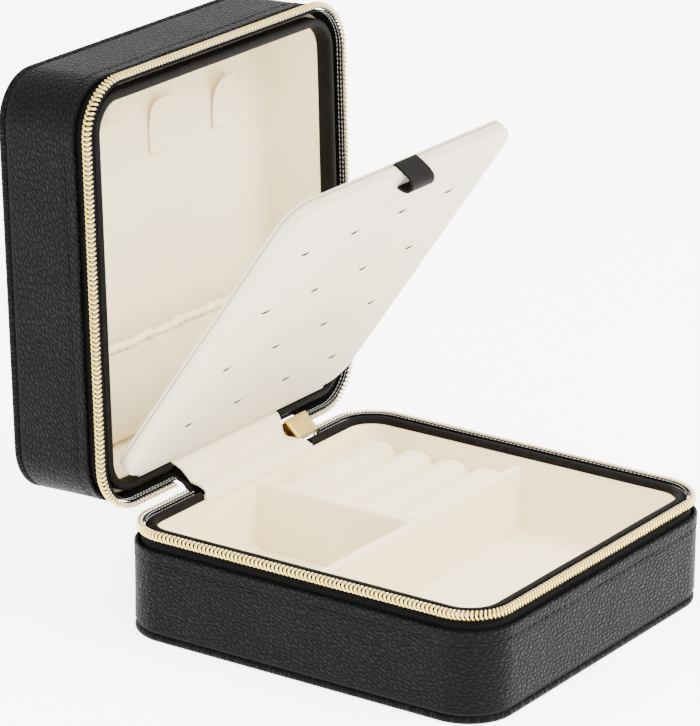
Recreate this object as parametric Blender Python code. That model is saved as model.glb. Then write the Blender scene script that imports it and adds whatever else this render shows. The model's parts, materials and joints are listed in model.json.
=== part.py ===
"""A square travel jewellery case, zipped round three sides and hinged at the back.

World frame: X runs along the hinge, the front is -Y, +Z is up. The base rests on z = 0 with its
outline centred on x = y = 0. Lengths in this script are millimetres; MM turns them into metres.

Each half of the case is described from its rim: INSET is how far a point lies inside the outer
leather, and DEPTH is how far it lies from the parting plane, where the two rows of teeth meet.
The base's depth runs down and the lid's runs up, so one set of functions builds both halves.
The lid is drawn closed and then turned open about its hinge line.
"""

import math

import bmesh
import bpy

MM = 0.001
GAP = 0.3

# --- driving dimensions -----------------------------------------------------------------------
CASE_WIDTH = 130.0
CASE_DEPTH = 130.0
CORNER_RADIUS = 15.5
BASE_HEIGHT = 35.0
LID_HEIGHT = 36.0
LID_OPEN_DEG = 92.4
PANEL_TILT_DEG = 55.8

# --- layers of the side wall, as insets from the outer leather --------------------------------
LEATHER = 1.2
TAPE = (1.9, 2.5)
TEETH = (0.8, 3.6)
SIDE_BOARD = (2.8, 4.6)
BAND = 3.9
LINING = (4.9, 6.8)

# --- depths from the parting plane ------------------------------------------------------------
TEETH_DEPTH = (0.15, 3.95)
TAPE_DEPTH = (4.3, 14.0)
LEATHER_EDGE = 6.4
BOARD_EDGE = 7.5
BAND_TOP = 1.2
BASE_BAND_END = 3.4
LID_BAND_END = 5.9

# --- flat layers, counted inwards from the outside --------------------------------------------
COVER_THICKNESS = 2.6
WELT_GROOVE = 0.8
BASE_FLOOR = 27.6
LID_BACK = 28.3
LINING_SHEET = 1.3

# --- hinge strip, zip ends and slider ---------------------------------------------------------
HINGE_Y = CASE_DEPTH / 2 + 0.5
STRIP_LEFT = -27.5
STRIP_RIGHT = 24.0
ZIP_LEFT = -29.0
ZIP_RIGHT = 37.2
SLIDER_X = (24.6, 35.2)
SLIDER_HALF_WIDTH = 3.6
SLIDER_PLATE = 1.0
SLIDER_OUTER_Y = (-0.1, 0.9)
SLIDER_INNER_Y = (-3.9, -2.9)
SLIDER_NECK_X = (31.5, 34.0)
NECK_HALF = 0.9
BRIDGE_X = (30.0, 31.4)
BRIDGE_HALF = 2.7
BRIDGE_THICK = 0.7
BRIDGE_TOP_Y = 4.7
PULL_PIVOT_Y = 2.6
PULL_LENGTH = 22.0
PULL_HALF = 3.6
PULL_HEAD = 0.7
PULL_THICK = 1.1
PULL_BEVEL = 1.4
EYE_HALF = 1.4
EYE_Z = (-4.4, -0.6)

# --- inside of the base -----------------------------------------------------------------------
DIVIDER_TOP = 29.0
DIVIDER = 3.0
LONG_DIVIDER_Y = 1.6
SHORT_DIVIDER_X = 1.0
ROLLS = 4
ROLL_TOP = 27.0
FOOT_ROUND = 1.5

# --- inside of the lid ------------------------------------------------------------------------
HOOK_PITCH = 32.6
HOOK_MIDDLE_X = 2.5
HOOK_FOOT = 93.4
HOOK_HEIGHT = 16.5
HOOK_HALF_WIDTH = 5.0
HOOK_CURLS = (5.6, 4.2, 4.8)
POCKET_TOP = 39.0
POCKET_PATH = [
    (9.3, 25.6),
    (13.0, 21.8),
    (20.0, 19.6),
    (28.0, 19.4),
    (34.0, 20.2),
    (POCKET_TOP, 21.2),
]
POCKET_SHEET = 0.8
HEM_RADIUS = 1.0
HEM_DEPTH = 21.4

# --- earring panel ----------------------------------------------------------------------------
PANEL_AXIS_UP = 8.1
PANEL_AXIS_IN = 2.0
PANEL_HALF_WIDTH = 57.7
PANEL_NEAR = 1.0
PANEL_FAR = 114.6
PANEL_RADIUS = 9.0
PANEL_SKIN = 1.1
PANEL_TRAY = 4.4
PANEL_THICKNESS = 5.6
SLIT_PITCH_X = 25.2
SLIT_PITCH_Y = 24.6
SLIT_MIDDLE_X = -0.9
SLIT_FIRST_Y = 19.9
SLIT_ROWS = 4
SLIT_LENGTH = 4.6
SLIT_WIDTH = 0.7
FOLD_INSET = 0.55
FOLD_RADIUS = 0.6
FOLD_REACH = 48.0
LOOP_HALF = 5.6
LOOP_OUTER = [
    (-109.6, -0.3),
    (-109.8, -2.6),
    (-110.6, -3.4),
    (-113.6, -3.4),
    (-114.6, -2.4),
    (-114.7, -0.3),
]
LOOP_INNER = [
    (-113.8, -0.9),
    (-113.7, -2.1),
    (-113.2, -2.5),
    (-111.0, -2.5),
    (-110.6, -2.1),
    (-110.5, -0.9),
]

CORNER_STEPS = 6

# colour, roughness, metallic
FINISHES = {
    "leather": ((0.030, 0.030, 0.031), 0.50, 0.0),
    "tape": ((0.010, 0.010, 0.011), 0.85, 0.0),
    "zip_gold": ((0.720, 0.560, 0.240), 0.30, 1.0),
    "brass": ((0.700, 0.500, 0.170), 0.25, 1.0),
    "velvet": ((0.840, 0.780, 0.660), 0.95, 0.0),
    "board": ((0.350, 0.270, 0.180), 0.90, 0.0),
    "foam": ((0.800, 0.790, 0.740), 0.95, 0.0),
}


# --- scene helpers ----------------------------------------------------------------------------
def clear_scene():
    for item in list(bpy.data.objects):
        bpy.data.objects.remove(item, do_unlink=True)


def finish_of(name):
    """The Principled material of this name, made the first time it is asked for."""
    material = bpy.data.materials.get(name)
    if material is None:
        material = bpy.data.materials.new(name)
        material.use_nodes = True
        shader = material.node_tree.nodes["Principled BSDF"]
        colour, roughness, metallic = FINISHES[name]
        shader.inputs["Base Color"].default_value = (*colour, 1.0)
        shader.inputs["Roughness"].default_value = roughness
        shader.inputs["Metallic"].default_value = metallic
        material.diffuse_color = (*colour, 1.0)
    return material


def empty_at(name, y, z, turn_deg, parent=None):
    """An empty on a joint's axis, turned about X; its children are drawn in the unturned frame."""
    empty = bpy.data.objects.new(name, None)
    bpy.context.scene.collection.objects.link(empty)
    empty.parent = parent
    empty.location = (0.0, y * MM, z * MM)
    empty.rotation_euler = (math.radians(turn_deg), 0.0, 0.0)
    empty.empty_display_size = 0.01
    return empty


def solid(name, points, faces, finish, parent=None):
    """One closed body from points in millimetres and faces, with its normals turned outwards."""
    mesh = bpy.data.meshes.new(name)
    shape = bmesh.new()
    corners = [shape.verts.new([c * MM for c in point]) for point in points]
    for face in faces:
        shape.faces.new([corners[index] for index in face])
    bmesh.ops.recalc_face_normals(shape, faces=shape.faces)
    shape.to_mesh(mesh)
    shape.free()
    mesh.materials.append(finish_of(finish))
    mesh.shade_smooth()
    mesh.set_sharp_from_angle(angle=math.radians(35.0))
    item = bpy.data.objects.new(name, mesh)
    bpy.context.scene.collection.objects.link(item)
    item.parent = parent
    return item


# --- shapes -----------------------------------------------------------------------------------
class Outline:
    """A rounded rectangle; every inset of it has the same number of points."""

    def __init__(self, x0, x1, y0, y1, radius):
        self.radius = radius
        self.centres = (
            (x1 - radius, y1 - radius, 90.0),
            (x1 - radius, y0 + radius, 0.0),
            (x0 + radius, y0 + radius, -90.0),
            (x0 + radius, y1 - radius, -180.0),
        )

    def stations(self):
        """Clockwise from the back right corner: (anchor x, anchor y, direction x, direction y)."""
        found = []
        for x, y, first in self.centres:
            for step in range(CORNER_STEPS + 1):
                turn = math.radians(first - 90.0 * step / CORNER_STEPS)
                found.append((x, y, math.cos(turn), math.sin(turn)))
        return found

    def point(self, station, inset):
        x, y, dx, dy = station
        reach = self.radius - inset
        return (x + dx * reach, y + dy * reach)


CASE = Outline(-CASE_WIDTH / 2, CASE_WIDTH / 2, -CASE_DEPTH / 2, CASE_DEPTH / 2, CORNER_RADIUS)
PANEL = Outline(-PANEL_HALF_WIDTH, PANEL_HALF_WIDTH, -PANEL_FAR, -PANEL_NEAR, PANEL_RADIUS)


def swept_faces(stations, sides, closed):
    """Faces that join the profiles at neighbouring stations, with end caps on an open sweep."""
    faces = []
    for i in range(stations if closed else stations - 1):
        j = (i + 1) % stations
        for k in range(sides):
            m = (k + 1) % sides
            faces.append((i * sides + k, i * sides + m, j * sides + m, j * sides + k))
    if not closed:
        faces.append(tuple(range(sides)))
        faces.append(tuple(reversed(range((stations - 1) * sides, stations * sides))))
    return faces


def stacked_faces(loops, count):
    """Faces that join loops one above the other, with a flat face over the first and the last."""
    faces = [tuple(range(count)), tuple(reversed(range((loops - 1) * count, loops * count)))]
    for i in range(loops - 1):
        for k in range(count):
            m = (k + 1) % count
            faces.append((i * count + k, i * count + m, (i + 1) * count + m, (i + 1) * count + k))
    return faces


def ring(name, outline, profile, height, finish, parent=None, ends=None):
    """Sweep a closed profile of (inset, depth) round the outline.

    height turns a depth into z. With ends = (left x, right x) the sweep starts and stops on the
    back edge instead of closing.
    """
    stations = outline.stations()
    if ends:
        back = outline.centres[0][1]
        stations = [(ends[1], back, 0.0, 1.0), *stations, (ends[0], back, 0.0, 1.0)]
    points = []
    for station in stations:
        for inset, depth in profile:
            points.append((*outline.point(station, inset), height(depth)))
    faces = swept_faces(len(stations), len(profile), closed=ends is None)
    return solid(name, points, faces, finish, parent)


def plate(name, outline, profile, height, finish, parent=None):
    """A flat piece whose edge follows the outline, from a list of (inset, depth) rims."""
    stations = outline.stations()
    points = []
    for inset, depth in profile:
        points.extend((*outline.point(s, inset), height(depth)) for s in stations)
    return solid(name, points, stacked_faces(len(profile), len(stations)), finish, parent)


def bar_x(name, section, x0, x1, finish, parent=None):
    """A bar along X with a closed section of (y, z) points."""
    points = [(x, y, z) for x in (x0, x1) for y, z in section]
    return solid(name, points, stacked_faces(2, len(section)), finish, parent)


def block(name, x, y, z, finish, parent=None):
    """A box from three (low, high) pairs."""
    section = [(y[0], z[0]), (y[1], z[0]), (y[1], z[1]), (y[0], z[1])]
    return bar_x(name, section, x[0], x[1], finish, parent)


def disc(y, z, radius, sides):
    """Points of a circle in the YZ plane."""
    turns = [2.0 * math.pi * k / sides for k in range(sides)]
    return [(y + radius * math.cos(t), z + radius * math.sin(t)) for t in turns]


def strap(name, centre_x, stations, thickness, finish, parent=None):
    """A flat strip: each station is (y, z, half width), and the strip is thickened evenly."""
    points = []
    for i, (y, z, half) in enumerate(stations):
        before = stations[max(i - 1, 0)]
        after = stations[min(i + 1, len(stations) - 1)]
        dy, dz = after[0] - before[0], after[1] - before[1]
        run = math.hypot(dy, dz)
        ny, nz = -dz / run * thickness / 2, dy / run * thickness / 2
        for side, face in ((-1, -1), (1, -1), (1, 1), (-1, 1)):
            points.append((centre_x + side * half, y + face * ny, z + face * nz))
    return solid(name, points, swept_faces(len(stations), 4, closed=False), finish, parent)


def cut(item, cutter):
    """Cut a helper shape from a piece, and keep the helper out of the model."""
    cutter.hide_render = True
    cutter.display_type = "WIRE"
    change = item.modifiers.new("cut_" + cutter.name, "BOOLEAN")
    change.operation = "DIFFERENCE"
    change.object = cutter


def join(item, other):
    """Fuse a helper shape into a piece."""
    other.hide_render = True
    other.display_type = "WIRE"
    change = item.modifiers.new("join_" + other.name, "BOOLEAN")
    change.operation = "UNION"
    change.object = other


# --- the two halves ---------------------------------------------------------------------------
class Half:
    """One half of the case: its name, height, direction of depth, and the joint that carries it."""

    def __init__(self, name, height, band_end, inner_face, parent):
        self.name = name
        self.total = height
        self.band_end = band_end
        self.inner_face = inner_face
        self.parent = parent
        self.outline = CASE
        if name == "lid":
            side = CASE_DEPTH / 2
            shift = HINGE_Y
            half = CASE_WIDTH / 2
            self.outline = Outline(-half, half, -side - shift, side - shift, CORNER_RADIUS)

    def height(self, depth):
        return depth if self.name == "lid" else BASE_HEIGHT - depth

    def y(self, inset):
        """Where an inset lies on the hinge side."""
        shift = HINGE_Y if self.name == "lid" else 0.0
        return CASE_DEPTH / 2 - inset - shift

    def ring(self, part, profile, finish, ends=None):
        name = self.name + "_" + part
        return ring(name, self.outline, profile, self.height, finish, self.parent, ends)

    def plate(self, part, profile, finish):
        return plate(self.name + "_" + part, self.outline, profile, self.height, finish, self.parent)


def outer_leather(half):
    """The side wrap with turned edges, and the flat cover whose rolled edge leaves a groove."""
    low = half.total - COVER_THICKNESS - WELT_GROOVE
    edge = 0.5
    half.ring(
        "side_cover",
        [
            (edge, LEATHER_EDGE),
            (0.0, LEATHER_EDGE + edge),
            (0.0, low - 2 * edge),
            (2 * edge, low),
            (LEATHER, low),
            (LEATHER, LEATHER_EDGE),
        ],
        "leather",
    )
    top = half.total
    face = "bottom_cover" if half.name == "base" else "top_cover"
    rolled = [(2.4, 0.0), (1.1, 0.25), (0.35, 0.8), (0.15, 1.4), (0.5, 2.1), (1.3, COVER_THICKNESS)]
    half.plate(face, [(inset, top - rise) for inset, rise in rolled], "leather")


def boards(half):
    """The stiff card inside the leather, and the foam under the lid's cover."""
    outside = half.total - COVER_THICKNESS - GAP
    inside = half.inner_face + LINING_SHEET + GAP
    half.ring(
        "side_board",
        [
            (SIDE_BOARD[0], BOARD_EDGE),
            (SIDE_BOARD[1], BOARD_EDGE),
            (SIDE_BOARD[1], inside - GAP),
            (SIDE_BOARD[0], inside - GAP),
        ],
        "board",
    )
    inset = LEATHER + GAP
    if half.name == "lid":
        pad = outside - 1.3
        half.plate("top_pad", [(inset, pad), (inset, outside)], "foam")
        half.plate("top_board", [(inset, inside), (inset, pad - GAP)], "board")
    else:
        half.plate("bottom_board", [(inset, inside), (inset, outside)], "board")


def zip_half(half):
    """The woven tape, and the row of coil teeth along its edge."""
    ends = (ZIP_LEFT, ZIP_RIGHT)
    for part, inset, depth, finish in (
        ("zip_tape", TAPE, TAPE_DEPTH, "tape"),
        ("zip_teeth", TEETH, TEETH_DEPTH, "zip_gold"),
    ):
        corners = [(inset[a], depth[b]) for a, b in ((0, 0), (1, 0), (1, 1), (0, 1))]
        half.ring(part, corners, finish, ends)


def inner_band(half):
    """The smooth leather binding over the wall's top edge, which stops either side of the hinge."""
    inner = LINING[1]
    tail = BOARD_EDGE - GAP
    step = SIDE_BOARD[1]
    profile = [
        (BAND, tail),
        (BAND, BAND_TOP + 0.5),
        (BAND + 0.6, BAND_TOP),
        (inner - 1.0, BAND_TOP),
        (inner - 0.2, BAND_TOP + 0.5),
        (inner, half.band_end - 0.3),
        (inner, half.band_end),
        (step, half.band_end),
        (step, tail),
    ]
    half.ring("inner_band", profile, "leather", ends=(ZIP_LEFT + 0.7, ZIP_RIGHT))


def lining(half):
    """The velvet-covered inner wall and the sheet on the floor of the base or the back of the lid."""
    top = half.band_end + GAP
    low = half.inner_face - GAP
    corners = [(LINING[0], top), (LINING[1], top), (LINING[1], low), (LINING[0], low)]
    half.ring("lining_wall", corners, "velvet")
    part = "lining_floor" if half.name == "base" else "lining_back"
    face = half.inner_face
    half.plate(part, [(LINING[0], face), (LINING[0], face + LINING_SHEET)], "velvet")


def hinge_leaves(half):
    """Each half's share of the two flexible strips that join the halves: leather outside and
    velvet inside. They meet at the fold, on the hinge line."""
    low = half.band_end
    shapes = (
        (
            "hinge_spine",
            [(1.6, 14.0), (1.6, 5.6), (0.0, 0.9), (0.3, 0.35), (0.9, 0.5), (2.4, 5.6), (2.4, 14.0)],
            "leather",
        ),
        (
            "hinge_lining",
            [(6.8, low), (6.7, low - 1.0), (1.9, 0.5), (1.7, 1.3), (4.9, low)],
            "velvet",
        ),
    )
    for part, profile, finish in shapes:
        section = [(half.y(inset), half.height(depth)) for inset, depth in profile]
        name = half.name + "_" + part
        bar_x(name, section, STRIP_LEFT, STRIP_RIGHT, finish, half.parent)


def make_half(half):
    outer_leather(half)
    boards(half)
    zip_half(half)
    inner_band(half)
    lining(half)
    hinge_leaves(half)


# --- inside of the base -----------------------------------------------------------------------
def dividers(base):
    floor = base.height(base.inner_face) + GAP
    reach = CASE_WIDTH / 2 - LINING[1] - GAP
    back = base.y(LINING[1]) - GAP
    half = DIVIDER / 2
    long_y = (LONG_DIVIDER_Y - half, LONG_DIVIDER_Y + half)
    block("divider_long", (-reach, reach), long_y, (floor, DIVIDER_TOP), "velvet")
    short_x = (SHORT_DIVIDER_X - half, SHORT_DIVIDER_X + half)
    block("divider_short", short_x, (long_y[1] + GAP, back), (floor, DIVIDER_TOP), "velvet")


def roll_section(y, width, low, top):
    """A roll pressed against its neighbours: flat sides, a round top and a rounded foot."""
    half = width / 2
    steps = 8
    crown = []
    for k in range(steps + 1):
        turn = math.pi * k / steps
        crown.append((y + half * math.cos(turn), top - half + half * math.sin(turn)))
    left_foot = [(y - half, low + FOOT_ROUND), (y - half + FOOT_ROUND, low)]
    right_foot = [(y + half - FOOT_ROUND, low), (y + half, low + FOOT_ROUND)]
    return [*crown, *left_foot, *right_foot]


def round_off_corner(roll, base, low):
    """Cut the last roll back so that it stays inside the wall's rounded back corner."""
    corner = CORNER_RADIUS - LINING[1]
    reach = CASE_WIDTH / 2 - LINING[1]
    edge = base.y(LINING[1])
    span = corner - 2 * GAP
    outside = 1.0
    points = [
        (reach - corner, edge + outside),
        (reach + outside, edge + outside),
        (reach + outside, edge - corner),
    ]
    for step in range(1, CORNER_STEPS):
        turn = math.radians(90.0 * step / CORNER_STEPS)
        x = reach - corner + span * math.cos(turn)
        y = edge - corner + span * math.sin(turn)
        points.append((x, y))
    tall = [(x, y, z) for z in (low - outside, ROLL_TOP + outside) for x, y in points]
    cut(roll, solid("roll_corner", tall, stacked_faces(2, len(points)), "velvet"))


def ring_rolls(base):
    """Padded rolls that grip rings between them, side by side from the long divider to the back."""
    low = base.height(base.inner_face) + GAP
    first = LONG_DIVIDER_Y + DIVIDER / 2 + GAP
    pitch = (base.y(LINING[1]) - first) / ROLLS
    left = SHORT_DIVIDER_X + DIVIDER / 2 + GAP
    right = CASE_WIDTH / 2 - LINING[1] - GAP
    for k in range(ROLLS):
        middle = first + (k + 0.5) * pitch - GAP / 2
        section = roll_section(middle, pitch - GAP, low, ROLL_TOP)
        roll = bar_x(f"ring_roll_{k + 1}", section, left, right, "velvet")
        if k == ROLLS - 1:
            round_off_corner(roll, base, low)


# --- inside of the lid ------------------------------------------------------------------------
def lid_y(up):
    """The closed lid's local y of a height above the hinge line, as the lid stands open."""
    return -up


def necklace_hooks(lid):
    """Velvet straps sewn down at the foot, whose free upper ends curl away from the lining."""
    back = lid.inner_face - GAP
    thickness = 1.2
    middle = (len(HOOK_CURLS) - 1) / 2
    for k, curl in enumerate(HOOK_CURLS):
        stations = []
        for t, width in ((0.0, 1.0), (0.3, 1.0), (0.55, 1.0), (0.8, 1.0), (0.93, 0.86), (1.0, 0.5)):
            up = HOOK_FOOT + HOOK_HEIGHT * t
            out = curl * t**2.2
            stations.append((lid_y(up), back - thickness / 2 - out, HOOK_HALF_WIDTH * width))
        x = HOOK_MIDDLE_X + (k - middle) * HOOK_PITCH
        strap(f"necklace_hook_{k + 1}", x, stations, thickness, "velvet", lid.parent)


def pocket_half_width(up):
    """Half the width between the lid's side linings at this height, round its lower corners."""
    corner = CORNER_RADIUS - LINING[1]
    reach = CASE_WIDTH / 2 - LINING[1] - 2 * GAP
    foot = HINGE_Y - CASE_DEPTH / 2 + LINING[1]
    short = max(corner - (up - foot), 0.0)
    return reach - corner + math.sqrt(corner**2 - short**2)


def gathered_pocket(lid):
    """A slack fabric pocket across the lower part of the lid, with elastic in its hem."""
    sheet = []
    for up, depth in POCKET_PATH:
        sheet.append((lid_y(up), depth, pocket_half_width(up)))
    strap("lid_pocket", 0.0, sheet, POCKET_SHEET, "velvet", lid.parent)
    up = POCKET_TOP + HEM_RADIUS + GAP
    reach = pocket_half_width(up)
    hem = disc(lid_y(up), HEM_DEPTH, HEM_RADIUS, 8)
    bar_x("lid_pocket_elastic", hem, -reach, reach, "velvet", lid.parent)


# --- earring panel ----------------------------------------------------------------------------
def earring_panel(axis):
    """A board in a velvet tray with slits for earrings, a back sheet, a pull tab and the folded
    strip it turns on. The slit face is z = 0 in its own frame and it reaches out along -Y."""
    skin = PANEL_SKIN
    tray = plate(
        "panel_front_cover",
        PANEL,
        [(0.8, 0.0), (0.0, 0.8), (0.0, PANEL_TRAY), (skin, PANEL_TRAY), (skin, skin)],
        lambda depth: depth,
        "velvet",
        axis,
    )
    cut(tray, slit_cutter(axis))
    inset = skin + GAP
    board = [(inset, skin + GAP), (inset, PANEL_TRAY - GAP)]
    plate("panel_board", PANEL, board, lambda depth: depth, "board", axis)
    back = [(0.0, PANEL_TRAY + GAP), (0.0, PANEL_THICKNESS - 0.4), (0.5, PANEL_THICKNESS)]
    plate("panel_back_cover", PANEL, back, lambda depth: depth, "velvet", axis)
    fold = disc(0.0, FOLD_INSET, FOLD_RADIUS, 8)
    bar_x("panel_hinge_fold", fold, -FOLD_REACH, FOLD_REACH, "velvet", axis)
    pull_loop(axis)


def slit_cutter(axis):
    """One helper holding a small box for each slit."""
    points = []
    faces = []
    side = stacked_faces(2, 4)
    for row in range(SLIT_ROWS):
        for column in range(SLIT_ROWS):
            x = SLIT_MIDDLE_X + (column - (SLIT_ROWS - 1) / 2) * SLIT_PITCH_X
            y = -(SLIT_FIRST_Y + row * SLIT_PITCH_Y)
            base = len(points)
            dx, dy = SLIT_LENGTH / 2, SLIT_WIDTH / 2
            for z in (-1.0, PANEL_SKIN + 0.15):
                points.extend([(x - dx, y - dy, z), (x + dx, y - dy, z)])
                points.extend([(x + dx, y + dy, z), (x - dx, y + dy, z)])
            faces.extend(tuple(base + index for index in face) for face in side)
    return solid("panel_slits", points, faces, "velvet", axis)


def pull_loop(axis):
    """A flattened loop of leather strap on the slit face, by the middle of the free edge."""
    tab = bar_x("panel_pull_tab", LOOP_OUTER, -LOOP_HALF, LOOP_HALF, "leather", axis)
    past = LOOP_HALF + 1.0
    cut(tab, bar_x("pull_loop_hollow", LOOP_INNER, -past, past, "leather", axis))


# --- zip slider -------------------------------------------------------------------------------
def slider(axis):
    """Two flanged plates joined by a neck, and the bridge that holds the pull."""
    lip = 0.7
    wide = SLIDER_HALF_WIDTH
    outer, inner = SLIDER_OUTER_Y, SLIDER_INNER_Y
    flange = outer[0] - SLIDER_PLATE
    section = [
        (outer[1], -wide),
        (outer[1], wide),
        (flange, wide),
        (flange, wide - lip),
        (outer[0], wide - lip),
        (outer[0], lip - wide),
        (flange, lip - wide),
        (flange, -wide),
    ]
    body = bar_x("slider_body", section, *SLIDER_X, "brass", axis)
    middle = (outer[0] + inner[1]) / 2
    mirrored = [(2 * middle - y, z) for y, z in section]
    join(body, bar_x("slider_inner_plate", mirrored, *SLIDER_X, "brass", axis))
    overlap = 0.4
    neck_y = (inner[1] - overlap, outer[0] + overlap)
    join(body, block("slider_neck", SLIDER_NECK_X, neck_y, (-NECK_HALF, NECK_HALF), "brass", axis))
    slider_bridge(outer[1] + GAP, axis)


def slider_bridge(foot, axis):
    """A staple over the outer plate: two legs and a bar, drawn as one outline of y and z."""
    leg = BRIDGE_HALF - BRIDGE_THICK
    under = BRIDGE_TOP_Y - BRIDGE_THICK
    staple = [
        (foot, -BRIDGE_HALF),
        (BRIDGE_TOP_Y, -BRIDGE_HALF),
        (BRIDGE_TOP_Y, BRIDGE_HALF),
        (foot, BRIDGE_HALF),
        (foot, leg),
        (under, leg),
        (under, -leg),
        (foot, -leg),
    ]
    bar_x("slider_bridge", staple, *BRIDGE_X, "brass", axis)


def slider_pull(axis):
    """A flat pull that hangs from the bridge by a bar across its eye. It hangs along -Z."""
    middle = sum(BRIDGE_X) / 2
    half = PULL_THICK / 2
    low = PULL_BEVEL - PULL_LENGTH
    right_side = [
        (2.6, PULL_HEAD),
        (2.8, -4.0),
        (PULL_HALF, -9.0),
        (PULL_HALF, low),
        (PULL_HALF - PULL_BEVEL, -PULL_LENGTH),
    ]
    outline = [*right_side, *[(-x, z) for x, z in reversed(right_side)]]
    points = [(middle + x, y, z) for y in (-half, half) for x, z in outline]
    pull = solid("slider_pull", points, stacked_faces(2, len(outline)), "brass", axis)
    eye_x = (middle - EYE_HALF, middle + EYE_HALF)
    cut(pull, block("pull_eye", eye_x, (-2.0, 2.0), EYE_Z, "brass", axis))


def main():
    clear_scene()
    lid_axis = empty_at("lid_hinge_axis", HINGE_Y, BASE_HEIGHT, -LID_OPEN_DEG)
    lean = LID_OPEN_DEG - PANEL_TILT_DEG
    panel_axis = empty_at("panel_hinge_axis", -PANEL_AXIS_UP, PANEL_AXIS_IN, lean, lid_axis)
    slider_axis = empty_at("slider_axis", HINGE_Y, BASE_HEIGHT, -LID_OPEN_DEG / 2)
    pull_axis = empty_at("pull_axis", PULL_PIVOT_Y, 0.0, LID_OPEN_DEG / 2, slider_axis)

    base = Half("base", BASE_HEIGHT, BASE_BAND_END, BASE_FLOOR, None)
    lid = Half("lid", LID_HEIGHT, LID_BAND_END, LID_BACK, lid_axis)
    make_half(base)
    make_half(lid)
    dividers(base)
    ring_rolls(base)
    necklace_hooks(lid)
    gathered_pocket(lid)
    earring_panel(panel_axis)
    slider(slider_axis)
    slider_pull(pull_axis)


main()
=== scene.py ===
# %% [markdown]
# # A travel jewellery case in pebbled leather
#
# The imported model is the frame: it holds the true sizes, the bodies that move and the joints.
# This lesson dresses it. Every visible piece is worked out again as a fine surface in the same
# place, with a finish made of shader nodes, and, except the two hinge strips, it rides on the body
# that its frame piece rides on.

# %% Load the frame
import json
import math

import bmesh
import bpy
import numpy as np
from mathutils import Matrix, Vector


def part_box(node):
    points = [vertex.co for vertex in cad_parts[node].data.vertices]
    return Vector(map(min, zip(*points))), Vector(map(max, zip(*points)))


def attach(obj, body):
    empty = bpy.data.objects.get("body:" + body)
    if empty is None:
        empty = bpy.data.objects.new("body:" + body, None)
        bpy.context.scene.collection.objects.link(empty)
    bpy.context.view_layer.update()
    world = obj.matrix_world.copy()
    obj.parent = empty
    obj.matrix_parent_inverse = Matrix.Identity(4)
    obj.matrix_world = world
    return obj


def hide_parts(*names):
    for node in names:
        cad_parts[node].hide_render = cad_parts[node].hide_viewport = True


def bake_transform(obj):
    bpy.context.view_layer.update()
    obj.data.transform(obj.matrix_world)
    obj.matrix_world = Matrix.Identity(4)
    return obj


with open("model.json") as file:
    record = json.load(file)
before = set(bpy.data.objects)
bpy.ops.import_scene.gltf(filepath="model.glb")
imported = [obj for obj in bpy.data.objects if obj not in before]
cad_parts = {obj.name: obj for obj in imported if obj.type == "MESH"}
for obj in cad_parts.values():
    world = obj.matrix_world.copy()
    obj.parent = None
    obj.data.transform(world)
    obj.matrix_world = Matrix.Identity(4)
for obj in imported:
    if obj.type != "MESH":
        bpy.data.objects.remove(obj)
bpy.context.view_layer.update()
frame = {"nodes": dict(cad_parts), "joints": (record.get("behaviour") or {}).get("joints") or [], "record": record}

# %% [markdown]
# ## Driving sizes
#
# All lengths here are millimetres, and MM turns them into Blender's metres when a mesh is made.
# The outside comes from the frame's own boxes and joints, so the two can't drift apart. The thin
# layers of the wall are named as insets from the outer leather, and as depths from the parting
# plane between the two halves.

# %% Sizes that the frame gives
MM = 0.001


def frame_box(node):
    """A frame piece's lowest and highest corner in millimetres."""
    low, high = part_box(node)
    return np.array(low) / MM, np.array(high) / MM


joints = {joint["name"]: joint for joint in frame["joints"]}
couplings = {c["joint"]: c["ratio"] for c in frame["record"]["behaviour"]["couplings"]}

case_low, case_high = frame_box("base_side_cover")
HALF_WIDTH = case_high[0]
FRONT, BACK = case_low[1], case_high[1]
_, HINGE_Y, RIM_Z = np.array(joints["lid_hinge"]["pos_m"]) / MM
OPEN_DEG = -joints["lid_hinge"]["range_deg"][0]
_, PANEL_Y, PANEL_Z = np.array(joints["panel_hinge"]["pos_m"]) / MM
PANEL_LEAN_DEG = OPEN_DEG + couplings["panel_hinge"] * OPEN_DEG
BASE_HEIGHT = RIM_Z
LID_HEIGHT = 36.0
CORNER = 15.5
print(f"case {2 * HALF_WIDTH:.1f} x {BACK - FRONT:.1f} mm, lid open {OPEN_DEG:.1f} degrees")

# %% Layers of the wall, as insets and depths
SKIN = 1.4
LEATHER_EDGE = 6.3
STITCH_DEPTH = 10.4
WELT = 2.6
WELT_GROOVE = 0.8
BAND_INNER = 6.8
BASE_BAND_END = RIM_Z - frame_box("base_lining_wall")[1][2] - 0.3
LID_BAND_END = 5.9
BASE_FLOOR = RIM_Z - frame_box("base_lining_floor")[1][2]
LID_BACK = 28.3
COIL_PITCH = 1.436
ZIP_LEFT, ZIP_RIGHT = -29.0, 37.2
print(f"band ends {BASE_BAND_END:.1f} mm deep in the base and {LID_BAND_END:.1f} mm in the lid")

# %% [markdown]
# ## Camera
#
# A product shot is taken from far away with a long lens, so that the box's sides stay nearly
# parallel. The camera's place is given in its own axes: how far the case's foot lies to the side,
# below and in front of it. Its axes come from an azimuth, an elevation and a slight roll.

# %% The camera
AZIMUTH, ELEVATION, ROLL = math.radians(-56.165), math.radians(19.317), math.radians(0.650)
EYE_SIDE, EYE_UP, EYE_BACK = -20.553, 75.166, 1370.07
FOCAL_MM = 226.17
SHIFT_X, SHIFT_Y = 0.0019, -0.0021


def camera_axes(azimuth, elevation, roll):
    """Rows right, up and back of a camera that looks at the object from that direction."""
    back = np.array([
        math.sin(azimuth) * math.cos(elevation),
        -math.cos(azimuth) * math.cos(elevation),
        math.sin(elevation),
    ])
    right = np.array([math.cos(azimuth), math.sin(azimuth), 0.0])
    up = np.cross(back, right)
    return np.array([
        right * math.cos(roll) + up * math.sin(roll),
        up * math.cos(roll) - right * math.sin(roll),
        back,
    ])


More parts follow.
